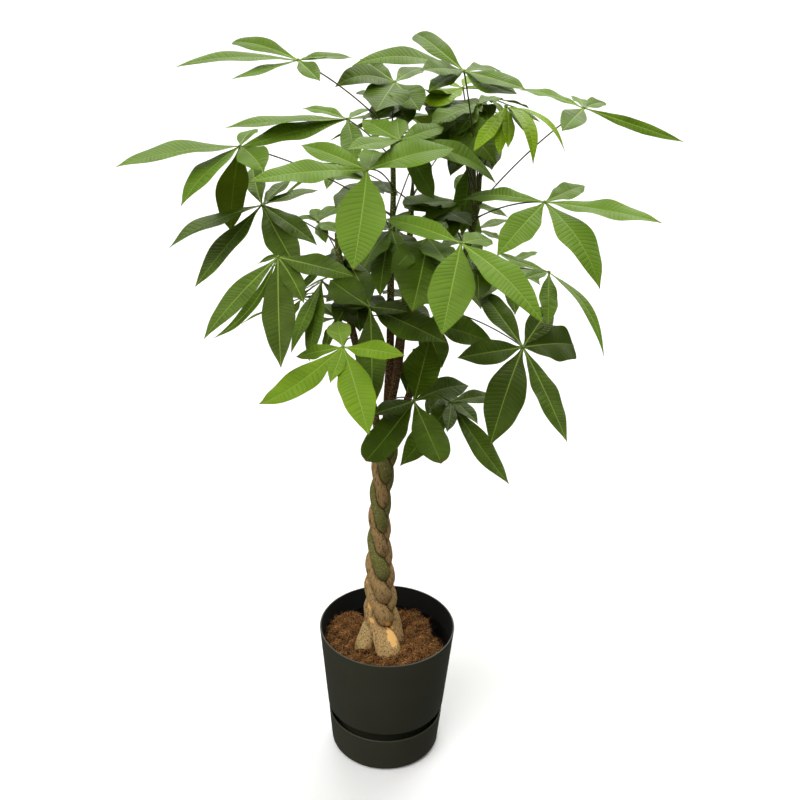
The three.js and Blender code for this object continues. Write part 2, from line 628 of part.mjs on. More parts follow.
let soil = toSolid(soilGeometry());
for (const name of Object.keys(STEMS)) {
  place(name, toGeometry(toSolid(stemGeometry(name))), bark);
  soil = soil.subtract(toSolid(stemGeometry(name, CLEARANCE)));
}
place("soil", toGeometry(soil), peat);

for (const shape of leaves) {
  place(shape.name, toGeometry(leafSolid(shape)), shape.young ? freshGreen : green);
}

export default tree;
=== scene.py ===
# %% [markdown]
# This lesson gives a potted money tree its looks: a crown of long-stalked leaves on five braided
# stems, in a heap of coir in a black plastic pot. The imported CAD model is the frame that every
# piece fits into. Sizes are in millimetres, as in the model, and become metres when a mesh is made.

# %% Load the frame
import math

import bpy
import numpy as np
from mathutils import Matrix


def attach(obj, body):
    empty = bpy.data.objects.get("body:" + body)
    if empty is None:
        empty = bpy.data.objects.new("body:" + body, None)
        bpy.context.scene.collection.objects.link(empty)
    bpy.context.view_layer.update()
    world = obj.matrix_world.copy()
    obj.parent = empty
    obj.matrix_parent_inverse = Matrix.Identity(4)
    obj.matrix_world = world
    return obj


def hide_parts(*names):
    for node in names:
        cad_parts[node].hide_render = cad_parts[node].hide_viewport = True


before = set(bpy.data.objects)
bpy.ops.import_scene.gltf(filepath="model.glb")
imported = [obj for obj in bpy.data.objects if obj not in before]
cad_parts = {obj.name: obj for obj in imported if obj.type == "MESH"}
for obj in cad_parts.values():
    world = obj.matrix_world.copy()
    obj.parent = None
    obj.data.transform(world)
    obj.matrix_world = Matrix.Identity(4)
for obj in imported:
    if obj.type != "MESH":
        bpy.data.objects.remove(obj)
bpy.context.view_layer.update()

MM = 0.001
scene = bpy.context.scene

# %% [markdown]
# The camera comes first, because the leaves are placed with it. It repeats the view of the reference
# picture: a point 1.7 m in front of the tree and 1.5 m up, which looks 25 degrees down. The focal
# length is known in pixels of a picture 800 pixels wide, and turned into millimetres for a 36 mm
# sensor.

# %% Camera
VIEW_POINT = np.array([13.6, -1700.0, 1527.0])
VIEW_PITCH = math.radians(25.3)
VIEW_ROLL = math.radians(1.42)
VIEW_FOCAL = 1116  # pixels
IMAGE_SIZE = 800  # pixels
SENSOR = 36.0

camera_data = bpy.data.cameras.new("camera")
camera_data.sensor_width = SENSOR
camera_data.lens = VIEW_FOCAL / IMAGE_SIZE * SENSOR
camera = bpy.data.objects.new("camera", camera_data)
level_to_pitch = Matrix.Rotation(math.pi / 2 - VIEW_PITCH, 4, "X")
camera.matrix_world = (Matrix.Translation(VIEW_POINT * MM) @ level_to_pitch
                       @ Matrix.Rotation(VIEW_ROLL, 4, "Z"))
scene.collection.objects.link(camera)
scene.camera = camera
print(f"lens {camera_data.lens:.1f} mm")


# %% Places seen by the camera
def unit(vector):
    """The vector divided by its own length."""
    return vector / np.linalg.norm(vector)


def view_ray(pixel):
    """The direction in which the viewer sees a pixel: the pixel's offset from the middle of the
    picture, turned back by the roll, then tipped down by the pitch."""
    right, down = (np.array(pixel, float) - IMAGE_SIZE / 2) / VIEW_FOCAL
    level = right * math.cos(VIEW_ROLL) + down * math.sin(VIEW_ROLL)
    rise = right * math.sin(VIEW_ROLL) - down * math.cos(VIEW_ROLL)
    return np.array([level,
                     math.cos(VIEW_PITCH) + rise * math.sin(VIEW_PITCH),
                     rise * math.cos(VIEW_PITCH) - math.sin(VIEW_PITCH)])


def point_at_depth(pixel, depth):
    """The point that is seen at a pixel and whose y is the depth."""
    ray = view_ray(pixel)
    return VIEW_POINT + ray * (depth - VIEW_POINT[1]) / ray[1]


def point_at_length(start, pixel, length):
    """The point seen at a pixel that lies a length away from the start: where the ray meets a
    sphere round the start, on the viewer's side, or on the far side for a negative length."""
    ray = unit(view_ray(pixel))
    to_start = start - VIEW_POINT
    nearest = to_start @ ray
    offset = math.sqrt(max(length ** 2 - (to_start @ to_start - nearest ** 2), 0))
    return VIEW_POINT + ray * (nearest - math.copysign(offset, length))


# %% [markdown]
# The stage is a wide pale floor under a soft white sky, which is brightest overhead, like a ceiling of
# softboxes. Two broad suns help it: one from the upper left in front, which gives the light a side,
# and one from behind and above, which makes the tops of the leaves shine and lets light through the
# hanging ones. Unlike area lights, suns light the floor evenly however wide it is. A white floor would
# also throw so much light up into the crown that its dark inside turned pale, so the floor is hidden
# from the rays that carry such bounced light, and still takes the tree's shadow. A bright wall far away
# all round, which only the camera sees, keeps the picture white above the floor's edge.

# %% Floor and backdrop
FLOOR_HALF = 40.0  # metres
BACKDROP_SIDES = 48
BACKDROP_RADIUS = 38.0
BACKDROP_GLOW = 1.2
FLOOR_PALE = (0.9, 0.9, 0.9, 1.0)

scene.view_settings.view_transform = "Standard"

floor_mesh = bpy.data.meshes.new("floor")
corners = np.array([[-1, -1, 0], [1, -1, 0], [1, 1, 0], [-1, 1, 0]]) * FLOOR_HALF
floor_mesh.from_pydata(corners, [], [[0, 1, 2, 3]])
floor_paint = bpy.data.materials.new("floor_paint")
floor_paint.use_nodes = True
paint = floor_paint.node_tree.nodes["Principled BSDF"]
paint.inputs["Base Color"].default_value = FLOOR_PALE
paint.inputs["Roughness"].default_value = 0.9
floor_mesh.materials.append(floor_paint)
floor = bpy.data.objects.new("floor", floor_mesh)

around = np.linspace(0, 2 * math.pi, BACKDROP_SIDES, endpoint=False)
ring = BACKDROP_RADIUS * np.stack([np.cos(around), np.sin(around), 0 * around], -1)
here = np.arange(BACKDROP_SIDES)
after = (here + 1) % BACKDROP_SIDES
walls = np.stack([after, here, here + BACKDROP_SIDES, after + BACKDROP_SIDES], -1)
backdrop_mesh = bpy.data.meshes.new("backdrop")
backdrop_mesh.from_pydata(np.concatenate([ring, ring + [0, 0, FLOOR_HALF]]), [], walls)
backdrop_paint = floor_paint.copy()
paint = backdrop_paint.node_tree.nodes["Principled BSDF"]
paint.inputs["Emission Color"].default_value = FLOOR_PALE
paint.inputs["Emission Strength"].default_value = BACKDROP_GLOW
backdrop_mesh.materials.append(backdrop_paint)
backdrop = bpy.data.objects.new("backdrop", backdrop_mesh)
backdrop.visible_shadow = False

for stage in (floor, backdrop):
    stage.visible_diffuse = False
    stage.visible_glossy = False
    stage.visible_transmission = False
    scene.collection.objects.link(stage)

# %% Suns
SUNS = [  # name, the direction it comes from, strength, spread in degrees
    ("front_sun", (-0.45, -0.55, 1.0), 1.85, 40),
    ("back_sun", (0.2, 0.9, 0.85), 2.2, 60),
]

for name, source, strength, spread in SUNS:
    light = bpy.data.lights.new(name, "SUN")
    light.energy = strength
    light.angle = math.radians(spread)
    sun = bpy.data.objects.new(name, light)
    scene.collection.objects.link(sun)
    source = unit(np.array(source))
    sun.rotation_euler = (math.acos(source[2]), 0, math.atan2(source[1], source[0]) + math.pi / 2)

# %% Sky
SKY_COLOR = (1.0, 0.99, 0.94, 1.0)
SKY_LOW = 0.12  # strength at the horizon
SKY_HIGH = 0.85  # and overhead

sky = bpy.data.worlds.new("sky")
sky.use_nodes = True
sky_nodes, sky_links = sky.node_tree.nodes, sky.node_tree.links
sky_nodes["Background"].inputs["Color"].default_value = SKY_COLOR
direction = sky_nodes.new("ShaderNodeTexCoord").outputs["Generated"]
upward = sky_nodes.new("ShaderNodeSeparateXYZ")
brightness = sky_nodes.new("ShaderNodeMapRange")
brightness.inputs["To Min"].default_value = SKY_LOW
brightness.inputs["To Max"].default_value = SKY_HIGH
sky_links.new(direction, upward.inputs["Vector"])
sky_links.new(upward.outputs["Z"], brightness.inputs["Value"])
sky_links.new(brightness.outputs["Result"], sky_nodes["Background"].inputs["Strength"])
scene.world = sky

# %% [markdown]
# Every piece below is a surface on a grid: rows of points along it, columns round it. The rows are
# joined by quads, and the first and last ring are closed by strips of quads that run from one side of
# the ring to the other, so that no piece has an open end or a pole.


# %% Mesh helpers
def skin(rows, columns):
    """Quads between neighbouring rings of a grid of rows x columns points, and across both end
    rings. They face outwards where the rings run anticlockwise, seen from the last row's side."""
    row = np.arange(rows - 1)[:, None] * columns
    here = np.arange(columns)[None, :]
    after = (here + 1) % columns
    sides = np.stack([row + here, row + after, row + columns + after, row + columns + here], -1)
    k = np.arange(columns // 2 - 1)
    cap = np.stack([k, k + 1, columns - 2 - k, columns - 1 - k], -1)
    return np.concatenate([sides.reshape(-1, 4), cap[:, ::-1], cap + (rows - 1) * columns])


def enclosed_volume(points, faces):
    """The sum of the tetrahedra from the origin to each triangle of a face: positive where the
    faces point outwards."""
    total = 0.0
    for k in range(1, faces.shape[1] - 1):
        a, b, c = points[faces[:, 0]], points[faces[:, k]], points[faces[:, k + 1]]
        total += np.einsum("ij,ij->", a, np.cross(b, c)) / 6
    return total


def make_piece(name, points, faces, materials, node=None, face_material=None,
               uv=None, attributes=None, sharp=40):
    """Turns arrays into a smooth-shaded object that rides on the tree. Attributes are one row for
    each point; edges that turn by more than sharp degrees stay crisp."""
    mesh = bpy.data.meshes.new(name)
    mesh.from_pydata(points * MM, [], faces)
    mesh.shade_smooth()
    mesh.set_sharp_from_angle(angle=math.radians(sharp))
    for material in materials:
        mesh.materials.append(material)
    if face_material is not None:
        mesh.polygons.foreach_set("material_index", face_material)
    if uv is not None:
        layer = mesh.uv_layers.new(name="UVMap")
        layer.data.foreach_set("uv", uv[faces.ravel()].astype(np.float32).ravel())
    for key, values in (attributes or {}).items():
        kind, field = ("FLOAT", "value") if values.ndim == 1 else ("FLOAT_VECTOR", "vector")
        attribute = mesh.attributes.new(key, kind, "POINT")
        attribute.data.foreach_set(field, values.astype(np.float32).ravel())
    piece = bpy.data.objects.new(name, mesh)
    scene.collection.objects.link(piece)
    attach(piece, "root")
    if node:
        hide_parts(node)
    litres = enclosed_volume(points, faces) * 1e-6
    print(f"{name}: {len(faces)} faces, {litres * 1000:.1f} ml")
    return piece


# %% [markdown]
# Materials are built from nodes. Small helpers keep that short: they add a node and feed its inputs,
# do a sum, read a value that the mesh carries, or turn a value between two limits into a soft mask.


# %% Node helpers
def feed(tree, node, inputs):
    """Gives inputs of a node a plain value, or links them to another node's output."""
    for key, value in inputs.items():
        if isinstance(value, bpy.types.NodeSocket):
            tree.links.new(value, node.inputs[key])
        else:
            node.inputs[key].default_value = value
    return node


def add(tree, kind, inputs=None, **settings):
    """Adds a node with its settings, and feeds it."""
    made = tree.nodes.new(kind)
    for key, value in settings.items():
        setattr(made, key, value)
    return feed(tree, made, inputs or {})


def calc(tree, operation, *values):
    """The result of a Math node."""
    return add(tree, "ShaderNodeMath", dict(enumerate(values)), operation=operation).outputs[0]


def rest(tree, share):
    """What a share leaves of one."""
    return calc(tree, "SUBTRACT", 1.0, share)


def attribute(tree, name, field="Fac"):
    """A value that the mesh carries at each of its points."""
    return add(tree, "ShaderNodeAttribute", attribute_name=name).outputs[field]


def axes(tree, vector):
    """The X, Y and Z of a vector."""
    return add(tree, "ShaderNodeSeparateXYZ", {"Vector": vector}).outputs


def stretch(tree, value, low, high):
    """A value from 0 to 1 stretched to run from low to high."""
    made = add(tree, "ShaderNodeMapRange", {"Value": value, "To Min": low, "To Max": high})
    return made.outputs["Result"]


def soft_mask(tree, value, low, high):
    """0 below low, 1 above high, and an S-shaped step between them."""
    step = add(tree, "ShaderNodeMapRange", {"Value": value, "From Min": low, "From Max": high},
               interpolation_type="SMOOTHSTEP")
    return step.outputs["Result"]


def blend(tree, share, first, second, mode="MIX"):
    """Mixes two colours, by node socket number: 0 is the share, 6 and 7 the colours."""
    mixed = add(tree, "ShaderNodeMix", {0: share, 6: first, 7: second},
                data_type="RGBA", blend_type=mode)
    return mixed.outputs[2]


def noise(tree, where, waves, detail):
    """Smooth noise from 0 to 1, with a number of waves in a metre."""
    made = add(tree, "ShaderNodeTexNoise", {"Vector": where, "Scale": waves, "Detail": detail})
    return made.outputs["Fac"]


def rgb(red, green, blue):
    """A picture's colour, 0 to 255, as the linear light that a shader takes."""
    share = np.array([red, green, blue]) / 255
    linear = np.where(share <= 0.04045, share / 12.92, ((share + 0.055) / 1.055) ** 2.4)
    return (*linear.tolist(), 1.0)


def new_material(name):
    """An empty material, its node tree and its Principled shader."""
    material = bpy.data.materials.new(name)
    material.use_nodes = True
    return material, material.node_tree, material.node_tree.nodes["Principled BSDF"]


def object_place(tree):
    """The place on the tree in metres. Pieces sit at the origin, so patterns don't slide."""
    return add(tree, "ShaderNodeTexCoord").outputs["Object"]


def bump(tree, height, distance):
    """The normal of a surface raised by height times a distance in metres."""
    made = add(tree, "ShaderNodeBump", {"Height": height, "Distance": distance, "Strength": 1.0})
    return made.outputs["Normal"]


# %% [markdown]
# The pot and its saucer are moulded from black plastic. In the light it is a very dark warm grey with
# a silky gloss. The mould leaves a fine grain, and handling leaves duller and shinier clouds, so both
# the bump and the roughness come from noise. Dust gathers near the ground. Inside, where little light
# falls, the wall is painted nearly black as painted shade: an attribute tells inside from outside.

# %% Pot plastic
PLASTIC_DARK = rgb(52, 54, 41)
PLASTIC_LIGHT = rgb(62, 62, 49)
# painted shade: the inside wall of the pot, drawn nearly black
PLASTIC_INSIDE_SHADE = rgb(9, 10, 7)
PLASTIC_DUST = rgb(78, 74, 58)

CLOUD_WAVES = 22  # in a metre
GRAIN_WAVES = 1400
DUST_WAVES = 160
DUST_TOP = 0.05  # metres
DUST_SHARE = 0.22
SATIN = (0.40, 0.52)  # roughness
DULLER_INSIDE = 0.3
GRAIN_HEIGHT = 0.00008  # metres

pot_plastic, tree, shader = new_material("pot_plastic")
place = object_place(tree)
clouds = noise(tree, place, CLOUD_WAVES, 4)
low_down = rest(tree, soft_mask(tree, axes(tree, place)["Z"], 0.0, DUST_TOP))
dust = calc(tree, "MULTIPLY", low_down, noise(tree, place, DUST_WAVES, 5))
color = blend(tree, clouds, PLASTIC_DARK, PLASTIC_LIGHT)
color = blend(tree, calc(tree, "MULTIPLY", dust, DUST_SHARE), color, PLASTIC_DUST)
shaded_inside = attribute(tree, "shaded_inside")
feed(tree, shader, {
    "Base Color": blend(tree, shaded_inside, color, PLASTIC_INSIDE_SHADE),
    "Roughness": calc(tree, "MULTIPLY_ADD", shaded_inside, DULLER_INSIDE, stretch(tree, clouds, *SATIN)),
    "Specular IOR Level": 0.35,
    "Normal": bump(tree, noise(tree, place, GRAIN_WAVES, 2), GRAIN_HEIGHT),
})

# %% [markdown]
# Pot and saucer are turned shapes: an outline of radii and heights, carried round the middle. Their
# sides lie on one straight cone. Sharp corners in an outline would catch no light, while the real rims
# show a thin bright line, so each corner of the outline gets a small round. The round is an arc of a
# circle that touches both edges of the corner.

# %% Turned shapes
RIM_RADIUS = 125.0
RIM_HEIGHT = 262.0
TAPER = 0.091  # radius lost for each millimetre down
WALL = 3.0
POT_SKIRT = 94.0
SAUCER_RIM = 76.0
FOOT_RADIUS = 90.0
FLOOR = 4.0
CLEARANCE = 0.3
POT_SIDES = 160
MIDDLE = 6.0  # the flat round in the middle of a turned shape, which strips close


def wall_radius(height):
    """The outside of the cone at a height."""
    return RIM_RADIUS - TAPER * (RIM_HEIGHT - height)


def rounded(outline, steps=5):
    """An outline of (radius, height, round) rows with each corner replaced by an arc that starts
    and ends at round times the tangent of half the turn from the corner."""
    points = []
    for k, (r, z, size) in enumerate(outline):
        corner = np.array([r, z])
        if not size:
            points.append(corner)
            continue
        back = unit(np.array(outline[k - 1][:2]) - corner)
        ahead = unit(np.array(outline[k + 1][:2]) - corner)
        half = math.acos(np.clip(back @ ahead, -1, 1)) / 2
        centre = corner + unit(back + ahead) * size / math.sin(half)
        first = corner + back * size / math.tan(half) - centre
        last = corner + ahead * size / math.tan(half) - centre
        sweep = math.atan2(first[0] * last[1] - first[1] * last[0], first @ last)
        for angle in np.linspace(0, sweep, steps):
            c, s = math.cos(angle), math.sin(angle)
            points.append(centre + [c * first[0] - s * first[1], s * first[0] + c * first[1]])
    return np.array(points)


def turned(outline, sides):
    """The outline's points carried round the vertical axis: (r cos a, r sin a, z)."""
    angle = np.linspace(0, 2 * math.pi, sides, endpoint=False)
    r, z = outline[:, 0, None], outline[:, 1, None]
    grid = np.stack([r * np.cos(angle), r * np.sin(angle), z + 0 * angle], -1)
    return grid.reshape(-1, 3), skin(len(outline), sides)


# %% Pot and saucer
pot_bottom = FLOOR + CLEARANCE
inner_skirt = POT_SKIRT + WALL
pot_outline = rounded([
    (MIDDLE, pot_bottom, 0), (FOOT_RADIUS, pot_bottom, 5), (FOOT_RADIUS, POT_SKIRT, 0.5),
    (wall_radius(POT_SKIRT), POT_SKIRT, 1.2), (RIM_RADIUS, RIM_HEIGHT, 1.1),
    (RIM_RADIUS - WALL, RIM_HEIGHT, 1.1), (wall_radius(inner_skirt) - WALL, inner_skirt, 1.5),
    (FOOT_RADIUS - WALL, inner_skirt, 1), (FOOT_RADIUS - WALL, pot_bottom + WALL, 2),
    (MIDDLE, pot_bottom + WALL, 0),
])
points, faces = turned(pot_outline, POT_SIDES)
from_wall = wall_radius(points[:, 2]) - np.hypot(points[:, 0], points[:, 1])
# the inside wall, which the plastic paints nearly black as painted shade
shaded_inside = ((from_wall > WALL - 0.3) & (points[:, 2] > inner_skirt - 1)).astype(float)
make_piece("pot_look", points, faces, [pot_plastic], node="pot",
           attributes={"shaded_inside": shaded_inside})

LOWER_EDGE = 11.0  # round of the saucer's lower edge
edge_radius = wall_radius(LOWER_EDGE)
saucer_outline = rounded([
    (MIDDLE, 0, 0), (edge_radius - 0.5, 0, LOWER_EDGE), (wall_radius(SAUCER_RIM), SAUCER_RIM, 1.2),
    (wall_radius(SAUCER_RIM) - WALL, SAUCER_RIM, 1.2), (edge_radius - WALL, FLOOR, 8),
    (MIDDLE, FLOOR, 0),
], steps=9)
points, faces = turned(saucer_outline, POT_SIDES)
make_piece("saucer_look", points, faces, [pot_plastic], node="saucer")

# %% [markdown]
# The soil is coir: brown crumbs and hairs of coconut husk, rust-coloured where they are dry. Its material
# mixes three browns by noise of two sizes and by a tone, and the finer noise roughens the surface. On the
# heap the tone follows the small lumps, so the hollows are painted nearly black as painted shade and the
# tops lighter as painted light. Crumbs and hairs wear the same material, each with a tone of its own.
# Another attribute paints shade into the ditch behind the heap, nearly black.

# %% Coir finish
# painted shade: the ditch behind the heap, drawn nearly black
COIR_DITCH_SHADE = rgb(12, 9, 6)
COIR_DARK = rgb(38, 21, 8)
COIR_BROWN = rgb(122, 80, 40)
COIR_DRY = rgb(214, 168, 104)

PATCH_WAVES = 90
SPECK_WAVES = 650
BROWN_EDGE = (0.42, 0.95)  # where patches and tone turn dark coir brown
DRY_EDGE = (0.52, 0.68)  # and where specks are dry
SPECK_HEIGHT = 0.0012  # metres

coir, tree, shader = new_material("coir")
place = object_place(tree)
tone = attribute(tree, "tone")
specks = noise(tree, place, SPECK_WAVES, 3)
# on the heap the tone follows the lumps: painted shade in the hollows, painted light on the tops
lit = calc(tree, "ADD", noise(tree, place, PATCH_WAVES, 4), calc(tree, "MULTIPLY", tone, 0.6))
color = blend(tree, soft_mask(tree, lit, *BROWN_EDGE), COIR_DARK, COIR_BROWN)
dry = calc(tree, "MULTIPLY", soft_mask(tree, specks, *DRY_EDGE), calc(tree, "ADD", tone, 0.1))
color = blend(tree, dry, color, COIR_DRY)
feed(tree, shader, {
    "Base Color": blend(tree, attribute(tree, "ditch_shade"), color, COIR_DITCH_SHADE),
    "Roughness": 0.95,
    "Specular IOR Level": 0.2,
    "Normal": bump(tree, specks, SPECK_HEIGHT),
})

# %% [markdown]
# Several shapes below are given as short tables, such as the soil's edge by bearing or the trunk's
# width by height. Two helpers read them: a smooth curve through a table's rows, and a smooth step.


# %% Smooth tables
def smooth_table(rows, position, column=1):
    """A smooth curve through the rows (position, value, ...): between two rows a cubic whose slope
    at each row is that of the line from the row before to the row after."""
    table = np.array(rows, float)
    at, value = table[:, 0], table[:, column]
    before = np.maximum(np.arange(len(at)) - 1, 0)
    after = np.minimum(np.arange(len(at)) + 1, len(at) - 1)
    slope = (value[after] - value[before]) / (at[after] - at[before])
    position = np.clip(position, at[0], at[-1])
    k = np.clip(np.searchsorted(at, position, side="right") - 1, 0, len(at) - 2)
    span = at[k + 1] - at[k]
    t = (position - at[k]) / span
    rise = value[k + 1] - value[k]
    bend = t * (1 - t) * ((1 - t) * (slope[k] * span - rise) - t * (slope[k + 1] * span - rise))
    return value[k] + rise * t + bend


def smoothstep(value, low, high):
    """0 below low, 1 above high, and 3t^2 - 2t^3 between them."""
    t = np.clip((value - low) / (high - low), 0, 1)
    return t * t * (3 - 2 * t)


# %% [markdown]
# The heap has one mound left of the trunk and a taller one behind it on the right. On the far side it
# falls away steeply, so that a dark gap shows between the mounds and the wall. Its height is a formula
# of the place: a bowl shape, bell-shaped mounds and hollows, and a drop beyond an edge that is given
# as a reach for each bearing. Small lumps from waves of several sizes lie on top.

# %% Soil tables
SOIL_CREST = 241.0
SOIL_EDGE_DROP = 20.0
SOIL_SIDES = 144
SOIL_RINGS = 64
LUMP_HEIGHT = 2.2
MOUNDS = [  # x, y, height, half width
    (-82, 36, 7, 26), (42, 40, 9, 24), (-8, -52, -3, 18), (-40, 14, -9, 12), (44, -16, -6, 13),
    (-54, -32, -5, 10), (72, -46, 2, 20),
]
FAR_EDGE = [  # bearing in degrees, reach
    (-180, 130), (-22, 126), (-10, 106), (0, 86), (13, 83), (28, 90), (45, 92), (58, 90), (70, 74),
    (100, 58), (122, 62), (130, 72), (138, 104), (146, 122), (180, 130),
]
FAR_DROP = 30.0
FAR_START = 3.0  # how far inside the edge the drop starts
FAR_SLOPE = 16.0  # how far out the drop reaches
# how soon the painted shade in the ditch turns dark
DITCH_SHADE_SLOPE = 6.0  # and how soon it is dark
TRUNK_SIDE = (46, 62)  # no ditch nearer to the middle
RIPPLE = 1.2


# %% Soil form
def ditch(x, y, slope=FAR_SLOPE):
    """0 on the heap, 1 in the ditch between its far edge and the wall."""
    far = np.hypot(x, y)
    beyond = far - smooth_table(FAR_EDGE, np.degrees(np.arctan2(y, x)))
    return smoothstep(beyond, -FAR_START, slope) * smoothstep(far, *TRUNK_SIDE)


def soil_height(x, y):
    """The crest, less the cube of the share of the radius, plus bell-shaped mounds, a gentle ripple
    and the ditch."""
    heaps = RIPPLE * np.sin(x / 7 + 1) * np.cos(y / 8)
    for mound_x, mound_y, rise, spread in MOUNDS:
        heaps = heaps + rise * np.exp(-((x - mound_x) ** 2 + (y - mound_y) ** 2) / (2 * spread ** 2))
    edge = SOIL_EDGE_DROP * (np.hypot(x, y) / RIM_RADIUS) ** 3
    return SOIL_CREST - edge + heaps - FAR_DROP * ditch(x, y)


def lumps(x, y):
    """A sum of slanted waves whose height falls with their length, each pushed about by the one
    before, so that they never line up."""
    total = 0
    push = 0
    for k in range(1, 7):
        turn = 2.4 * k
        push = np.sin((x * math.cos(turn) + y * math.sin(turn)) * 0.16 * 1.45 ** k + 2 * push + k)
        total = total + push / k
    return total


# %% Soil heap
soil_bottom = FLOOR + 2 * CLEARANCE + WALL
soil_foot = FOOT_RADIUS - WALL - CLEARANCE
soil_edge = wall_radius(SOIL_CREST - SOIL_EDGE_DROP) - WALL - 2 * CLEARANCE
soil_shelf = inner_skirt + CLEARANCE
soil_outline = np.array([
    (MIDDLE, soil_bottom), (soil_foot, soil_bottom), (soil_foot, soil_shelf),
    (wall_radius(soil_shelf) - WALL - 1, soil_shelf), (soil_edge, SOIL_CREST - SOIL_EDGE_DROP),
    *[(r, SOIL_CREST) for r in np.linspace(soil_edge, 2.0, SOIL_RINGS)],
])
points, faces = turned(soil_outline, SOIL_SIDES)
top = points[:, 2] > SOIL_CREST - 1
x, y = points[top, 0], points[top, 1]
rough_share = np.clip((soil_edge - np.hypot(x, y)) / 6, 0, 1)
points[top, 2] = soil_height(x, y) + LUMP_HEIGHT * lumps(x, y) * rough_share
# painted shade and light: the tone rises with the lumps, so hollows turn dark and tops pale
heap_shade_tone = np.clip(0.3 + 0.4 * lumps(points[:, 0], points[:, 1]), 0, 1)
make_piece("soil_look", points, faces, [coir], node="soil", sharp=75,
           attributes={"tone": heap_shade_tone, "ditch_shade": ditch(points[:, 0], points[:, 1], DITCH_SHADE_SLOPE)})

# %% [markdown]
# Crumbs and hairs lie all over the heap. Each crumb is a twenty-sided lump, squeezed, turned and
# dented by random numbers; each hair is a thin four-sided tube along a bent line. Thousands of copies
# are made at once as one array, and joined in one mesh. The random numbers have a seed, so that every
# run gives the same heap.

# %% Crumb shapes and places
def icosahedron():
    """Twelve points on three crossed rectangles of golden proportions, and the triangles between
    points that are one edge apart."""
    golden = (1 + math.sqrt(5)) / 2
    base = np.array([(0, a, b * golden) for a in (-1, 1) for b in (-1, 1)], float)
    corners = np.concatenate([np.roll(base, k, axis=1) for k in range(3)])
    apart = np.linalg.norm(corners[:, None] - corners[None], axis=-1)
    near = np.abs(apart - 2) < 0.01
    found = [(i, j, k) for i in range(12) for j in range(i + 1, 12) for k in range(j + 1, 12)
             if near[i, j] and near[j, k] and near[i, k]]
    faces = np.array(found)
    a, b, c = (corners[faces[:, k]] for k in range(3))
    inward = np.einsum("ij,ij->i", np.cross(b - a, c - a), a) < 0
    faces[inward] = faces[inward, ::-1]
    return corners / np.linalg.norm(corners[0]), faces


def random_turns(chance, count):
    """Random rotation matrices, from random unit quaternions."""
    w, x, y, z = chance.normal(size=(4, count))
    size = np.sqrt(w * w + x * x + y * y + z * z)
    w, x, y, z = w / size, x / size, y / size, z / size
    rows = [1 - 2 * (y * y + z * z), 2 * (x * y - z * w), 2 * (x * z + y * w),
            2 * (x * y + z * w), 1 - 2 * (x * x + z * z), 2 * (y * z - x * w),
            2 * (x * z - y * w), 2 * (y * z + x * w), 1 - 2 * (x * x + y * y)]
    return np.stack(rows, -1).reshape(count, 3, 3)


def scatter(chance, count, reach):
    """Random places on the heap, evenly spread over the disc."""
    angle = chance.uniform(0, 2 * math.pi, count)
    out = reach * np.sqrt(chance.uniform(0.01, 1, count))
    x, y = out * np.cos(angle), out * np.sin(angle)
    return np.stack([x, y, soil_height(x, y) + LUMP_HEIGHT * lumps(x, y)], -1)


# %% Coir crumbs
CRUMB_COUNT = 2400
CRUMB_SIZE = (1.2, 3.2)
HEAP_SEED = 11

chance = np.random.default_rng(HEAP_SEED)
ball, ball_faces = icosahedron()
sizes = chance.uniform(*CRUMB_SIZE, (CRUMB_COUNT, 1, 1)) * chance.uniform(0.4, 1, (CRUMB_COUNT, 1, 3))
dents = chance.uniform(0.7, 1.25, (CRUMB_COUNT, 12, 1))
crumbs = np.einsum("nij,nkj->nki", random_turns(chance, CRUMB_COUNT), ball * dents * sizes)
crumbs += scatter(chance, CRUMB_COUNT, soil_edge - 3)[:, None]
faces = (ball_faces + 12 * np.arange(CRUMB_COUNT)[:, None, None]).reshape(-1, 3)
crumb_tone = np.repeat(chance.uniform(0, 1, CRUMB_COUNT) ** 1.5, 12)
crumbs = crumbs.reshape(-1, 3)
make_piece("coir_crumbs", crumbs, faces, [coir], sharp=60,
           attributes={"tone": crumb_tone, "ditch_shade": ditch(crumbs[:, 0], crumbs[:, 1], DITCH_SHADE_SLOPE)})

# %% Coir hairs
HAIR_ROWS = 5
HAIR_SIDES = 4
HAIRS = [  # name, count, ranges of the length, the radius, and the lift over the length
    ("coir_mat", 3400, (4.0, 14.0), (0.35, 0.75), (0.0, 0.35)),
    ("coir_hairs", 420, (10.0, 28.0), (0.22, 0.42), (0.1, 0.6)),
]


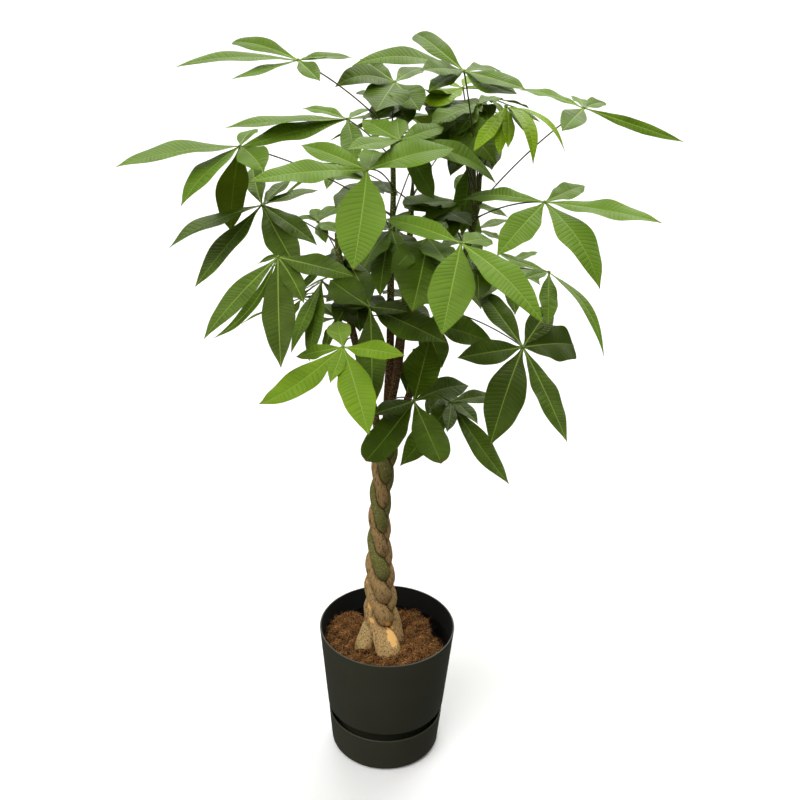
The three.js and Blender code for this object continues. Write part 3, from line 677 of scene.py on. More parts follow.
def hair_batch(name, count, length_range, radius_range, lift_range):
    """Bent hairs: each starts on the heap, turns steadily while it runs, and is lifted by half a
    sine wave. A hair that would run into the wall starts nearer the middle instead."""
    along = np.linspace(0, 1, HAIR_ROWS)[None, :, None]
    length = chance.uniform(*length_range, (count, 1, 1))
    angle = chance.uniform(0, 2 * math.pi, (count, 1, 1)) + chance.normal(0, 1.0, (count, 1, 1)) * along
    flat = np.concatenate([np.cos(angle), np.sin(angle)], -1).cumsum(1) * length / (HAIR_ROWS - 1)
    lift = chance.uniform(*lift_range, (count, 1, 1)) * length * np.sin(along * math.pi * 0.6)
    start = scatter(chance, count, soil_edge - 6)[:, None]
    path = start + np.concatenate([flat, lift + 0.4], -1)
    out = np.hypot(path[..., 0], path[..., 1]).max(1)
    inward = np.minimum(1, (soil_edge - 1) / out)[:, None, None] * [1, 1, 0] + [0, 0, 1]
    path = path * inward
    ahead = np.gradient(path, axis=1)
    side = np.stack([ahead[..., 1], -ahead[..., 0], 0 * ahead[..., 0]], -1)
    side /= np.linalg.norm(side, axis=-1, keepdims=True)
    upward = np.cross(side, ahead)
    upward /= np.linalg.norm(upward, axis=-1, keepdims=True)
    ring = np.linspace(0, 2 * math.pi, HAIR_SIDES, endpoint=False)[:, None]
    radius = chance.uniform(*radius_range, (count, 1, 1, 1)) * (1 - 0.6 * along[..., None])
    hairs = path[:, :, None] + radius * (np.cos(ring) * upward[:, :, None]
                                         + np.sin(ring) * side[:, :, None])
    stride = HAIR_ROWS * HAIR_SIDES
    faces = skin(HAIR_ROWS, HAIR_SIDES) + stride * np.arange(count)[:, None, None]
    tone = np.repeat(chance.uniform(0.2, 1.0, count), stride)
    hairs = hairs.reshape(-1, 3)
    make_piece(name, hairs, faces.reshape(-1, 4), [coir],
               attributes={"tone": tone, "ditch_shade": ditch(hairs[:, 0], hairs[:, 1], DITCH_SHADE_SLOPE)})


for batch in HAIRS:
    hair_batch(*batch)

# %% [markdown]
# The trunk is a flat plait of five stems. In such a plait each strand swings left and right once while
# it swings forward and back twice, a fifth of a round apart from its neighbours. The rows below give
# the trunk's half width and middle by height, and where each stem stands in the soil and how its free
# shoot runs on above the braid.

# %% Stem tables
TRUNK_HALF_WIDTH = [
    (240, 35), (284, 30.5), (317, 28.5), (359, 26.5), (402, 24), (440, 20.5), (521, 18.5),
    (570, 19), (620, 21.5),
]
TRUNK_MIDDLE = [(240, -8, 0), (317, -13, 0), (430, -17, 0), (521, -17, 0), (620, -10, 4)]
STRAND_SHARE = [(240, 0.48), (320, 0.56), (440, 0.60), (640, 0.56)]  # radius over the half width
BRAID_DEPTH_SHARE = 0.92
BRAID_PITCH = 247
BRAID_TURN = math.radians(55)
BRAID_START = 529
BRAID_PHASE = 282  # degrees
BRAID_SPAN = (262, 622)
FOOT_BLEND = (232, 278)
FOOT_FLARE = {"stem_right": 1.46}  # how much thicker a foot is
FLARE_SPAN = (246, 300)
CROWN_BLEND = (615, 700)
SHOOT_BLEND = (600, 690)  # heights between which the radius becomes the shoot's
STRAND_COUNT = 5
SHOOT_RADIUS = [
    (620, 6.4), (700, 6.8), (800, 6.6), (900, 5.8), (1000, 5), (1100, 4.2), (1200, 3.6),
]
SHOOT_END_RADIUS = 2.0
SHOOT_TIP = 30
STEM_BOTTOM = 190
STEMS = {
    "stem_centre": {
        "strand": 4, "foot": (12, 23),
        "shoot": [(640, -4, 3), (700, -8, 8), (797, -5, 12), (940, -6, 12), (1080, -5, 10),
                  (1186, -9, 4)],
    },
    "stem_right": {
        "strand": 0, "foot": (3, -44),
        "shoot": [(640, 6, 7), (700, 20, 8), (800, 53, 14), (900, 88, 20), (1012, 121, 22),
                  (1104, 131, 20)],
    },
    "stem_left": {
        "strand": 3, "foot": (-18, 26),
        "shoot": [(640, -26, 4), (700, -29, -4), (800, -52, -24), (900, -74, -32), (1022, -92, -34)],
    },
    "stem_front": {
        "strand": 2, "foot": (15, -9),
        "shoot": [(640, -12, -14), (700, -6, -26), (800, 8, -62), (900, 16, -84), (972, 20, -92)],
    },
    "stem_back": {
        "strand": 1, "foot": (-42, -33),
        "shoot": [(640, -10, 20), (700, -6, 34), (800, 10, 74), (900, 20, 104), (1062, 26, 132)],
    },
}


# %% Where a stem runs
def stem_middle(name, height):
    """The middle of a stem at each height, as x and y: the foot, the braid and the shoot, blended
    into each other by smooth steps."""
    stem = STEMS[name]
    half_width = smooth_table(TRUNK_HALF_WIDTH, height)
    swing = half_width * (1 - smooth_table(STRAND_SHARE, height))
    wound = np.clip(height, *BRAID_SPAN)
    degrees = 360 * (wound - BRAID_START) / BRAID_PITCH + BRAID_PHASE
    phase = np.radians(degrees + 360 * stem["strand"] / STRAND_COUNT)
    right = swing * np.sin(phase)
    back = -swing * BRAID_DEPTH_SHARE * np.sin(2 * phase)
    c, s = math.cos(BRAID_TURN), math.sin(BRAID_TURN)
    braid = np.stack([c * right - s * back + smooth_table(TRUNK_MIDDLE, height, 1),
                      s * right + c * back + smooth_table(TRUNK_MIDDLE, height, 2)], -1)
    free = np.stack([smooth_table(stem["shoot"], height, k) for k in (1, 2)], -1)
    in_braid = smoothstep(height, *FOOT_BLEND)[..., None]
    in_crown = smoothstep(height, *CROWN_BLEND)[..., None]
    middle = np.array(stem["foot"], float) * (1 - in_braid) + braid * in_braid
    return middle * (1 - in_crown) + free * in_crown


def stem_top(name):
    """The height at which a stem's shoot ends."""
    return STEMS[name]["shoot"][-1][0]


def stem_radius(name, height):
    """The radius of a round stem: a share of the trunk in the braid, the shoot's own above it, and
    a straight taper to the tip."""
    tip_from = stem_top(name) - SHOOT_TIP
    capped = np.minimum(height, tip_from)
    braided = smooth_table(STRAND_SHARE, capped) * smooth_table(TRUNK_HALF_WIDTH, capped)
    in_crown = smoothstep(capped, *SHOOT_BLEND)
    braided = braided * (1 + (FOOT_FLARE.get(name, 1) - 1) * (1 - smoothstep(capped, *FLARE_SPAN)))
    full = braided * (1 - in_crown) + smooth_table(SHOOT_RADIUS, capped) * in_crown
    taper = np.maximum(height - tip_from, 0) / SHOOT_TIP
    return full * (1 - taper) + SHOOT_END_RADIUS * taper


# %% [markdown]
# Bark covers the stems. Old bark is brown with pale, raised pores in short rows; where the sun reaches
# it, a thin skin of it is still green, and the young shoots are green all over. An attribute darkens
# the seams where stems press on each other: painted shade. Near the foot strips of bark have come off
# and show the light wood. A node group marks such a patch: it measures how far a place is from the
# patch's middle
# in units of its size, along axes that lean by its tilt, and noise frays its edge.

# %% Patch group
FRAY_WAVES = 260
PATCH_EDGE = (0.93, 1.05)  # in units of the patch's size

patch_group = bpy.data.node_groups.new("soft_patch", "ShaderNodeTree")
for socket_name, socket_kind in (("Place", "Vector"), ("Middle", "Vector"), ("Size", "Vector"),
                                 ("Tilt", "Float")):
    patch_group.interface.new_socket(socket_name, in_out="INPUT",
                                     socket_type=f"NodeSocket{socket_kind}")
patch_group.interface.new_socket("Mask", in_out="OUTPUT", socket_type="NodeSocketFloat")
given = patch_group.nodes.new("NodeGroupInput").outputs
offset = add(patch_group, "ShaderNodeVectorMath", {0: given["Place"], 1: given["Middle"]},
             operation="SUBTRACT").outputs["Vector"]
tilted = add(patch_group, "ShaderNodeVectorRotate", {"Vector": offset, "Angle": given["Tilt"]},
             rotation_type="Y_AXIS").outputs["Vector"]
scaled = add(patch_group, "ShaderNodeVectorMath", {0: tilted, 1: given["Size"]},
             operation="DIVIDE").outputs["Vector"]
distance = add(patch_group, "ShaderNodeVectorMath", {0: scaled}, operation="LENGTH").outputs["Value"]
frayed = calc(patch_group, "SUBTRACT", noise(patch_group, given["Place"], FRAY_WAVES, 4), 0.5)
beyond = soft_mask(patch_group, calc(patch_group, "ADD", distance, frayed), *PATCH_EDGE)
result = patch_group.nodes.new("NodeGroupOutput")
feed(patch_group, result, {"Mask": rest(patch_group, beyond)})


def soft_patch(tree, place, middle, size, tilt):
    """The mask of one patch, with its middle and half sizes in millimetres, leant by its tilt."""
    group = add(tree, "ShaderNodeGroup", node_tree=patch_group)
    feed(tree, group, {"Place": place, "Middle": np.array(middle) * MM, "Size": np.array(size) * MM,
                       "Tilt": math.radians(tilt)})
    return group.outputs["Mask"]


# %% Bark colours and patches
BARK_BROWN = rgb(190, 153, 98)
BARK_DARK = rgb(90, 66, 36)
BARK_OLIVE = rgb(112, 120, 52)
BARK_PORE = rgb(236, 218, 170)
# painted shade for the seams where stems press together
BARK_SEAM_SHADE = rgb(40, 30, 16)
BARE_WOOD = rgb(250, 196, 118)
SHOOT_BROWN = rgb(104, 72, 38)
SHOOT_GREEN = rgb(84, 98, 30)
PEELED = [  # pixel of the middle, depth, half sizes, tilt in degrees
    ((369.5, 612), -32, (4.8, 30, 9), 10), ((371.5, 627), -44, (6, 40, 4), -30),
    ((390, 638.5), -56, (8.5, 40, 25), 29), ((366.5, 587), -26, (2, 20, 7), 0),
]

# %% Bark finish
FISSURE_WAVES = 330
FISSURE_EDGE = (0.26, 0.56)
PORE_CELLS = 300  # in a metre
PORE_EDGE = (0.20, 0.34)
PORE_RING = (0.34, 0.48)
PORE_PATCHES = (0.30, 0.50)
MOSSY = (0.42, 0.85)
SHOOT_FROM = (0.62, 0.72)  # metres up, where the bark turns into a shoot's
GREEN_FROM = (0.80, 1.0)  # and where that turns green
SEAM_SHADE_SHARE = 0.75
BARK_RELIEF = 0.0007  # metres

bark, tree, shader = new_material("bark")
place = object_place(tree)
stretched, squeezed = (add(tree, "ShaderNodeMapping", {"Vector": place, "Scale": (1, 1, upward)})
                       for upward in (0.3, 1.9))
fissures = noise(tree, stretched.outputs["Vector"], FISSURE_WAVES, 4)
cells = add(tree, "ShaderNodeTexVoronoi", {"Vector": squeezed.outputs["Vector"], "Scale": PORE_CELLS,
                                           "Randomness": 1.0}).outputs["Distance"]
some = soft_mask(tree, noise(tree, place, 45, 2), *PORE_PATCHES)
pore, ring = (calc(tree, "MULTIPLY", rest(tree, soft_mask(tree, cells, *edge)), some)
              for edge in (PORE_EDGE, PORE_RING))
color = blend(tree, soft_mask(tree, fissures, *FISSURE_EDGE), BARK_DARK, BARK_BROWN)
clouds = calc(tree, "MULTIPLY", noise(tree, place, 55, 4), 0.6)
mossy = soft_mask(tree, calc(tree, "ADD", attribute(tree, "green"), clouds), *MOSSY)
color = blend(tree, calc(tree, "MULTIPLY", mossy, 0.85), color, BARK_OLIVE)
up_high = axes(tree, place)["Z"]
color = blend(tree, soft_mask(tree, up_high, *SHOOT_FROM), color, SHOOT_BROWN)
color = blend(tree, soft_mask(tree, up_high, *GREEN_FROM), color, SHOOT_GREEN)
color = blend(tree, calc(tree, "MULTIPLY", ring, 0.35), color, BARK_DARK)
color = blend(tree, calc(tree, "MULTIPLY", pore, 0.8), color, BARK_PORE)
patches = [soft_patch(tree, place, point_at_depth(pixel, depth), size, tilt)
           for pixel, depth, size, tilt in PEELED]
peeled = patches[0]
for patch in patches[1:]:
    peeled = calc(tree, "MAXIMUM", peeled, patch)
color = blend(tree, peeled, color, BARE_WOOD)
# painted shade darkens the seams between pressed stems
seam_shade = calc(tree, "MULTIPLY", attribute(tree, "seam_shade"), SEAM_SHADE_SHARE)
relief = calc(tree, "MULTIPLY_ADD", pore, 0.5, calc(tree, "MULTIPLY", fissures, 0.6))
relief = calc(tree, "SUBTRACT", relief, calc(tree, "MULTIPLY", peeled, 0.8))
feed(tree, shader, {
    "Base Color": blend(tree, seam_shade, color, BARK_SEAM_SHADE),
    "Roughness": 0.75,
    "Specular IOR Level": 0.3,
    "Normal": bump(tree, relief, BARK_RELIEF),
})

# %% [markdown]
# Each stem is a stack of level rings. A ring is a circle, held back where a neighbour presses on it:
# in each direction the stem reaches no further than the line half-way to the neighbour. A soft minimum
# rounds the edge where the pressed side starts. Waves along and round the stem give it the slight
# unevenness of wood.

# %% Stem rings
STEM_SIDES = 28
BRAID_ROW_STEP = 2.6
SHOOT_ROW_STEP = 5.0
SHOOT_START = 650
TOP_MARGIN = 5  # a neighbour still presses this far above its top
PRESSED_GAP = 0.12
SOFTNESS = 9  # power of the soft minimum
GNARL = 0.01  # height of the waves, over the radius
# where the painted shade in a seam starts and where it is darkest
SEAM_SHADE_SPAN = (0.02, 0.16)  # share of the radius lost where a seam starts to darken, and is darkest


def stem_heights(name):
    """Heights of the rings: close together in the braid, further apart in the shoot."""
    braid = np.arange(STEM_BOTTOM, SHOOT_START, BRAID_ROW_STEP)
    shoot_rows = int((stem_top(name) - SHOOT_START) / SHOOT_ROW_STEP)
    return np.concatenate([braid, np.linspace(SHOOT_START, stem_top(name), shoot_rows)])


def stem_points(name):
    """A ring's reach in a direction is the soft minimum (the -1/p power of the sum of -p powers) of
    its own radius and of the distance to the half-way line of each neighbour. The seam shade value,
    which paints shade into the seams, rises from 0 to 1 as that reach falls short of the radius."""
    height = stem_heights(name)
    middle = stem_middle(name, height)
    angle = np.linspace(0, 2 * math.pi, STEM_SIDES, endpoint=False)
    out = np.stack([np.cos(angle), np.sin(angle)], -1)
    radius = stem_radius(name, height)[:, None]
    total = (radius + 0 * angle) ** -SOFTNESS
    for other in STEMS:
        if other == name:
            continue
        gap = stem_middle(other, height) - middle
        far = np.linalg.norm(gap, axis=-1)[:, None]
        facing = np.maximum((gap @ out.T) / far, 1e-3)
        reach = (far / 2 - PRESSED_GAP) / facing
        there = (height <= stem_top(other) + TOP_MARGIN)[:, None]
        total = total + np.where(there, reach, 1e6) ** -SOFTNESS
    reach = total ** (-1 / SOFTNESS)
    strand = STEMS[name]["strand"]
    wave = (np.sin(height[:, None] / 11 + 3 * angle + strand)
            + 0.7 * np.sin(height[:, None] / 4.3 - 2 * angle + 2 * strand)
            + 0.4 * np.sin(height[:, None] / 2.1 + 5 * angle))
    seam_shade = smoothstep(1 - reach / radius, *SEAM_SHADE_SPAN)
    reach = reach * (1 + GNARL * wave)
    grid = np.concatenate([middle[:, None] + reach[..., None] * out,
                           np.broadcast_to(height[:, None, None], (*reach.shape, 1))], -1)
    return grid.reshape(-1, 3), height, seam_shade.ravel()


# %% Stems
GREEN_STRETCHES = {  # rows of (height, share of green)
    "stem_centre": [(0, 0.1), (590, 0.1), (640, 0.4), (2000, 0.4)],
    "stem_right": [(0, 0.15), (455, 0.1), (500, 0.9), (2000, 0.8)],
    "stem_left": [(0, 0.1), (556, 0.15), (586, 0.6), (2000, 0.5)],
    "stem_front": [(0, 0.05), (300, 0.2), (360, 0.3), (392, 0.9), (520, 0.8), (560, 0.5), (2000, 0.5)],
    "stem_back": [(0, 0.22), (246, 0.22), (290, 0.2), (330, 0.1), (540, 0.15), (572, 0.7), (2000, 0.6)],
}

for name in STEMS:
    points, height, seam_shade = stem_points(name)
    faces = skin(len(height), STEM_SIDES)
    share = smooth_table(GREEN_STRETCHES[name], height)
    make_piece(f"{name}_look", points, faces, [bark], node=name, sharp=60,
               attributes={"green": np.repeat(share, STEM_SIDES), "seam_shade": seam_shade})

# %% [markdown]
# A leaf is a long thin stalk and a fan of leaflets. What makes a leaflet look real is how it is veined:
# a pale midrib runs from the hub to the tip, and side veins leave it alternately, nearly square, and
# sweep forward near the edge. Each leaflet carries this pattern with it: its UV map counts side veins
# along the blade, and a vector attribute holds the distance from the midrib in metres, the share of
# the length, and the leaf's tone. The group below turns them into masks for both faces of the blade.

# %% Vein group
RIB_WIDTH = 0.0013  # metres at the hub, from the midrib's middle to its side
RIB_TAPER = 0.0009  # and lost towards the tip
RIB_EDGE = (0.55, 1.1)  # in units of that width
VEIN_EDGE = (0.02, 0.10)  # in units of the distance between two veins
VEIN_FADE = (0.45, 1.0)  # shares of the way to the blade's edge
VEIN_WANDER = 0.16
NET_CELLS = 420  # in a metre
DRY_FROM = (0.965, 0.995)  # shares of the length

vein_group = bpy.data.node_groups.new("leaf_veins", "ShaderNodeTree")
for socket_name in ("Midrib", "Vein", "Tone", "Tip", "Height"):
    vein_group.interface.new_socket(socket_name, in_out="OUTPUT", socket_type="NodeSocketFloat")
blade = axes(vein_group, attribute(vein_group, "blade", "Vector"))
across, along_blade, tone = blade["X"], blade["Y"], blade["Z"]
rib_width = calc(vein_group, "MULTIPLY_ADD", along_blade, -RIB_TAPER, RIB_WIDTH)
rib_share = calc(vein_group, "DIVIDE", calc(vein_group, "ABSOLUTE", across), rib_width)
midrib = rest(vein_group, soft_mask(vein_group, rib_share, *RIB_EDGE))
count = axes(vein_group, add(vein_group, "ShaderNodeUVMap", uv_map="UVMap").outputs["UV"])
place = object_place(vein_group)
wander = calc(vein_group, "MULTIPLY", noise(vein_group, place, 60, 2), VEIN_WANDER)
shift = calc(vein_group, "MULTIPLY", calc(vein_group, "LESS_THAN", across, 0.0), 0.5)
along_veins = calc(vein_group, "ADD", calc(vein_group, "ADD", count["X"], shift), wander)
to_vein = calc(vein_group, "PINGPONG", along_veins, 0.5)
from_middle = calc(vein_group, "ABSOLUTE", calc(vein_group, "MULTIPLY_ADD", count["Y"], 2.0, -1.0))
fade = rest(vein_group, soft_mask(vein_group, from_middle, *VEIN_FADE))
thin = rest(vein_group, soft_mask(vein_group, to_vein, *VEIN_EDGE))
net = add(vein_group, "ShaderNodeTexVoronoi", {"Vector": place, "Scale": NET_CELLS},
          feature="DISTANCE_TO_EDGE").outputs["Distance"]
net = soft_mask(vein_group, net, 0.0, 0.12)
height = calc(vein_group, "MULTIPLY_ADD", net, 0.25, soft_mask(vein_group, to_vein, 0.0, 0.26))
height = calc(vein_group, "SUBTRACT", height, calc(vein_group, "MULTIPLY", midrib, 0.5))
feed(vein_group, vein_group.nodes.new("NodeGroupOutput"), {
    "Midrib": midrib,
    "Vein": calc(vein_group, "MULTIPLY", thin, fade),
    "Tone": tone,
    "Tip": soft_mask(vein_group, along_blade, *DRY_FROM),
    "Height": height,
})

# %% [markdown]
# A leaf lets light through. In Blender that is a Translucent shader, mixed with the Principled shader
# of the surface. A blade here is a closed shell, so light crosses two faces on its way, and the share
# is set higher than for a single sheet. The tone runs from 0, an old dark leaf, over a mature grey-green
# one to 1, a young yellow-green one; on the upper face that grey-green is partly the leaf's own colour
# and partly a painted sheen. The upper face is waxy, with fine dark grooves where the veins are, drawn
# as painted shade, and the lower one paler and duller, with lighter veins.

# %% Leaf finishes
LEAF_OLD = rgb(62, 88, 0)
# partly painted sheen: this grey-green of mature upper faces stands in for the light's sheen
LEAF_PALE_SHEEN = rgb(118, 158, 40)
LEAF_YOUNG = rgb(148, 188, 0)
LEAF_UNDER_OLD = rgb(78, 96, 26)
LEAF_UNDER_PALE = rgb(118, 140, 44)
LEAF_UNDER_YOUNG = rgb(148, 172, 26)
MIDRIB = rgb(170, 202, 84)
# painted shade: dark lines in the sunken vein grooves of the upper face
GROOVE_SHADE = rgb(52, 86, 14)
UNDER_VEIN = rgb(136, 168, 62)
DRY_TIP = rgb(112, 84, 44)
GLOW = rgb(212, 224, 0)
WAX = (1.0, 1.0, 0.5, 1.0)  # colour of the highlights
THROUGH = 0.34  # share of the light that crosses a face
TONE_CLOUDS = 0.36  # how far clouds of noise shift the tone
GLOSS_CLOUDS = 0.06  # and the roughness
LEAF_RELIEF = 0.0004  # metres


def leaf_material(name, greens, vein_color, vein_share, roughness):
    """One face of the blade: tone and clouds of noise choose between three greens, for a dark, a
    mature and a young leaf. Veins are drawn on it."""
    material, tree, shader = new_material(name)
    veins = add(tree, "ShaderNodeGroup", node_tree=vein_group).outputs
    place = object_place(tree)
    clouds = noise(tree, place, 35, 3)
    cloudy = calc(tree, "MULTIPLY_ADD", clouds, TONE_CLOUDS, -TONE_CLOUDS / 2)
    varied = calc(tree, "ADD", veins["Tone"], cloudy)
    color = blend(tree, soft_mask(tree, varied, 0.0, 0.5), greens[0], greens[1])
    color = blend(tree, soft_mask(tree, varied, 0.5, 1.0), color, greens[2])
    color = blend(tree, calc(tree, "MULTIPLY", veins["Vein"], vein_share), color, vein_color)
    color = blend(tree, calc(tree, "MULTIPLY", veins["Midrib"], 0.9), color, MIDRIB)
    color = blend(tree, veins["Tip"], color, DRY_TIP)
    normal = bump(tree, veins["Height"], LEAF_RELIEF)
    feed(tree, shader, {
        "Base Color": color,
        "Roughness": stretch(tree, clouds, roughness - GLOSS_CLOUDS, roughness + GLOSS_CLOUDS),
        "Specular IOR Level": 0.42,
        "Specular Tint": WAX,
        "Normal": normal,
    })
    glow = add(tree, "ShaderNodeBsdfTranslucent",
               {"Color": blend(tree, 0.5, color, GLOW), "Normal": normal})
    mixed = add(tree, "ShaderNodeMixShader",
                {0: THROUGH, 1: shader.outputs["BSDF"], 2: glow.outputs["BSDF"]})
    feed(tree, tree.nodes["Material Output"], {"Surface": mixed.outputs["Shader"]})
    return material


leaf_upper = leaf_material("leaf_upper", (LEAF_OLD, LEAF_PALE_SHEEN, LEAF_YOUNG), GROOVE_SHADE, 0.4, 0.40)
leaf_under = leaf_material("leaf_under", (LEAF_UNDER_OLD, LEAF_UNDER_PALE, LEAF_UNDER_YOUNG),
                           UNDER_VEIN, 0.5, 0.60)

# %% Stalk finish
STALK_BROWN = rgb(92, 84, 52)
STALK_GREEN = rgb(120, 140, 58)
STREAK_WAVES = 240
STALK_RELIEF = 0.0003  # metres

stalk_skin, tree, shader = new_material("stalk_skin")
streaks = noise(tree, object_place(tree), STREAK_WAVES, 3)
along_stalk = axes(tree, attribute(tree, "blade", "Vector"))["Y"]
hubward = calc(tree, "ADD", along_stalk, calc(tree, "MULTIPLY", streaks, 0.1))
feed(tree, shader, {
    "Base Color": blend(tree, soft_mask(tree, hubward, 0.9, 1.08), STALK_BROWN, STALK_GREEN),
    "Roughness": 0.55,
    "Normal": bump(tree, streaks, STALK_RELIEF),
})

# %% [markdown]
# A leaflet's outline starts as a thin neck at the hub, is widest at its middle or past it, and draws out
# into a point. The blade is folded a little along the midrib, its edges wave, it bulges between side
# veins, and it twists on its way to the tip. Each grid row follows a side vein: it leaves the midrib
# square and runs forward towards the edge, so that the bulges follow the veins.

# %% Leaflet numbers
VEIN_SPACING = 7.2
ROWS_PER_VEIN = 3
VEIN_SWEEP = 0.45  # how far forward a vein ends, over its own length
COLUMNS = np.array([-1, -0.86, -0.6, -0.32, -0.09, 0, 0.09, 0.32, 0.6, 0.86, 1])
BLADE_START = 2.2
BLADE_HALF_THICKNESS = 0.32
BULGE = (0.15, 0.5)  # millimetres on an old and on a young leaf
FOLD = (0.12, 0.30)  # rise of the edges over half the width
EDGE_WAVES = (0.06, 0.14)  # height over half the width
WAVE_CYCLES = (1.4, 2.6)  # along a leaflet
UNEVENNESS = 0.025  # of the outline
TWIST = 9  # degrees
SIDE_SWAY = 0.022  # over the length
RIB_GROOVE = 0.25  # millimetres, on the upper face
RIB_RIDGE = 0.9  # and on the lower one
RIB_REACH = 1.1  # to each side
NECK = 0.9  # half width at the hub
LEAST = 0.15  # half width everywhere
USUAL_WIDTH = 44  # narrower blades bulge less
WIDTH_SHARE = 0.92  # the faceted CAD blades are narrower for the same width
UPPER, UNDER, STALK = 0, 1, 2  # places in a leaf's list of materials
POINTED = [(0, 0.03), (0.1, 0.21), (0.22, 0.55), (0.36, 0.87), (0.5, 1), (0.64, 0.94), (0.78, 0.7),
           (0.88, 0.4), (0.94, 0.18), (0.975, 0.07), (1, 0)]
BLUNT = [(0, 0.03), (0.1, 0.18), (0.25, 0.52), (0.45, 0.9), (0.6, 1), (0.75, 0.97), (0.87, 0.82),
         (0.95, 0.56), (0.985, 0.3), (1, 0)]
ROUND = [(0, 0.03), (0.08, 0.24), (0.2, 0.56), (0.35, 0.83), (0.55, 0.98), (0.7, 1), (0.84, 0.9),
         (0.93, 0.7), (0.98, 0.42), (1, 0)]


# %% Leaflet form
def outline_share(place, outline):
    """Half the width by place along the blade, as a share of the widest."""
    return smooth_table(outline, np.clip(place, 0, 1))


def blade_shape(length, width, tone, outline, chance):
    """A blade over the grid of rows and COLUMNS before it is turned: the count of side veins, the
    place along it, half its width, the height over the midrib, the twist and the sideways sway. The
    height is the sum of a fold, waves along the edges, and bulges between the side veins."""
    veins = max(round(length / VEIN_SPACING), 6)
    t = np.linspace(0, 1, veins * ROWS_PER_VEIN + 1)[:, None]
    s = COLUMNS[None, :]
    reach = np.abs(s)
    phase = chance.uniform(0, 2 * math.pi, 6)
    cycles = chance.uniform(*WAVE_CYCLES)
    place = t + VEIN_SWEEP * reach * width / 2 * outline_share(t, outline) / length
    turns = 2 * math.pi * cycles * place
    uneven = 1 + UNEVENNESS * np.sin(1.6 * turns + np.where(s < 0, phase[2], phase[3]))
    half = width / 2 * outline_share(place, outline) * uneven + NECK * np.exp(-place / 0.03) + LEAST
    fold = chance.uniform(*FOLD) * (reach - 0.45 * reach ** 2)
    edge_phase = np.where(s < 0, phase[0], phase[1])
    waves = chance.uniform(*EDGE_WAVES) * reach ** 1.6 * np.sin(turns + edge_phase)
    count = t * veins + 0.45 * np.sin(2 * math.pi * 1.7 * t + phase[4]) + 0.3 * np.sin(17 * t + phase[5])
    bulge = BULGE[0] + (BULGE[1] - BULGE[0]) * tone
    bulges = (bulge * (0.5 - 0.5 * np.cos(2 * math.pi * (count + 0.5 * (s < 0))))
              * 4 * reach * (1 - reach) * np.sin(math.pi * t) ** 0.5)
    rise = half * (fold + waves) + bulges * min(width / USUAL_WIDTH, 1.2)
    twist = math.radians(chance.uniform(-TWIST, TWIST)) * (place - 0.25)
    sway = chance.uniform(-SIDE_SWAY, SIDE_SWAY) * length * 4 * place * (1 - place)
    return count, place, half, rise, twist, sway


def leaflet(hub, tip, width, arch, roll, up, tone, outline, chance):
    """A closed shell: the blade's shape with a thickness, turned by the twist, bent up by the arch,
    a parabola, and laid from the hub to the tip."""
    ahead = unit(tip - hub)
    start = hub + BLADE_START * ahead
    length = np.linalg.norm(tip - start)
    face = unit(up - (up @ ahead) * ahead)
    side = np.cross(ahead, face)
    face, side = (math.cos(roll) * face - math.sin(roll) * side,
                  math.sin(roll) * face + math.cos(roll) * side)
    shape = blade_shape(length, width * WIDTH_SHARE, tone, outline, chance)
    count, place, half, rise, twist, sway = shape
    groove = np.exp(-(COLUMNS * half / RIB_REACH) ** 2)
    layers = []
    for level, rib in ((1, -RIB_GROOVE), (-1, -RIB_RIDGE)):
        thick = level * BLADE_HALF_THICKNESS * (1 - 0.55 * np.abs(COLUMNS) ** 4)
        up_by = rise + thick + rib * groove * (1 - 0.8 * place)
        right_by = COLUMNS * half
        layers.append((right_by * np.cos(twist) - up_by * np.sin(twist) + sway,
                       right_by * np.sin(twist) + up_by * np.cos(twist)))
    right_by, up_by = (np.concatenate([upper, under[:, ::-1]], 1) for upper, under in zip(*layers))
    place, half = (np.concatenate([grid, grid[:, ::-1]], 1) for grid in (place, half))
    both = np.concatenate([COLUMNS, COLUMNS[::-1]])
    up_by = up_by + 4 * arch * length * place * (1 - place) * (0.7 + 0.6 * place)
    points = (start + place[..., None] * (tip - start) + right_by[..., None] * side
              + up_by[..., None] * face)
    faces = skin(len(count), len(both))
    around = np.tile(np.arange(len(both)), len(count) - 1)
    on_top = np.concatenate([around < len(COLUMNS) - 1, np.zeros(len(faces) - len(around), bool)])
    uv = np.stack(np.broadcast_arrays(count, 0.5 + 0.5 * both), -1)
    blade = np.stack(np.broadcast_arrays(both * half * MM, place, tone), -1)
    return (points.reshape(-1, 3), faces, np.where(on_top, UPPER, UNDER), uv.reshape(-1, 2),
            blade.reshape(-1, 3))


# %% [markdown]
# The stalk leaves the stem with a swollen foot and ends in the hub, a small knob where all leaflets
# meet. Both are tubes: a path, and a radius for each of its points.

# %% Stalk and hub
STALK_ROWS = 26
STALK_SIDES = 10
STALK_RADIUS = 1.15
FOOT_SWELL = 1.1
HUB_SWELL = 0.6
STALK_BOW = 0.05  # over the length
HUB_RADIUS = 2.9


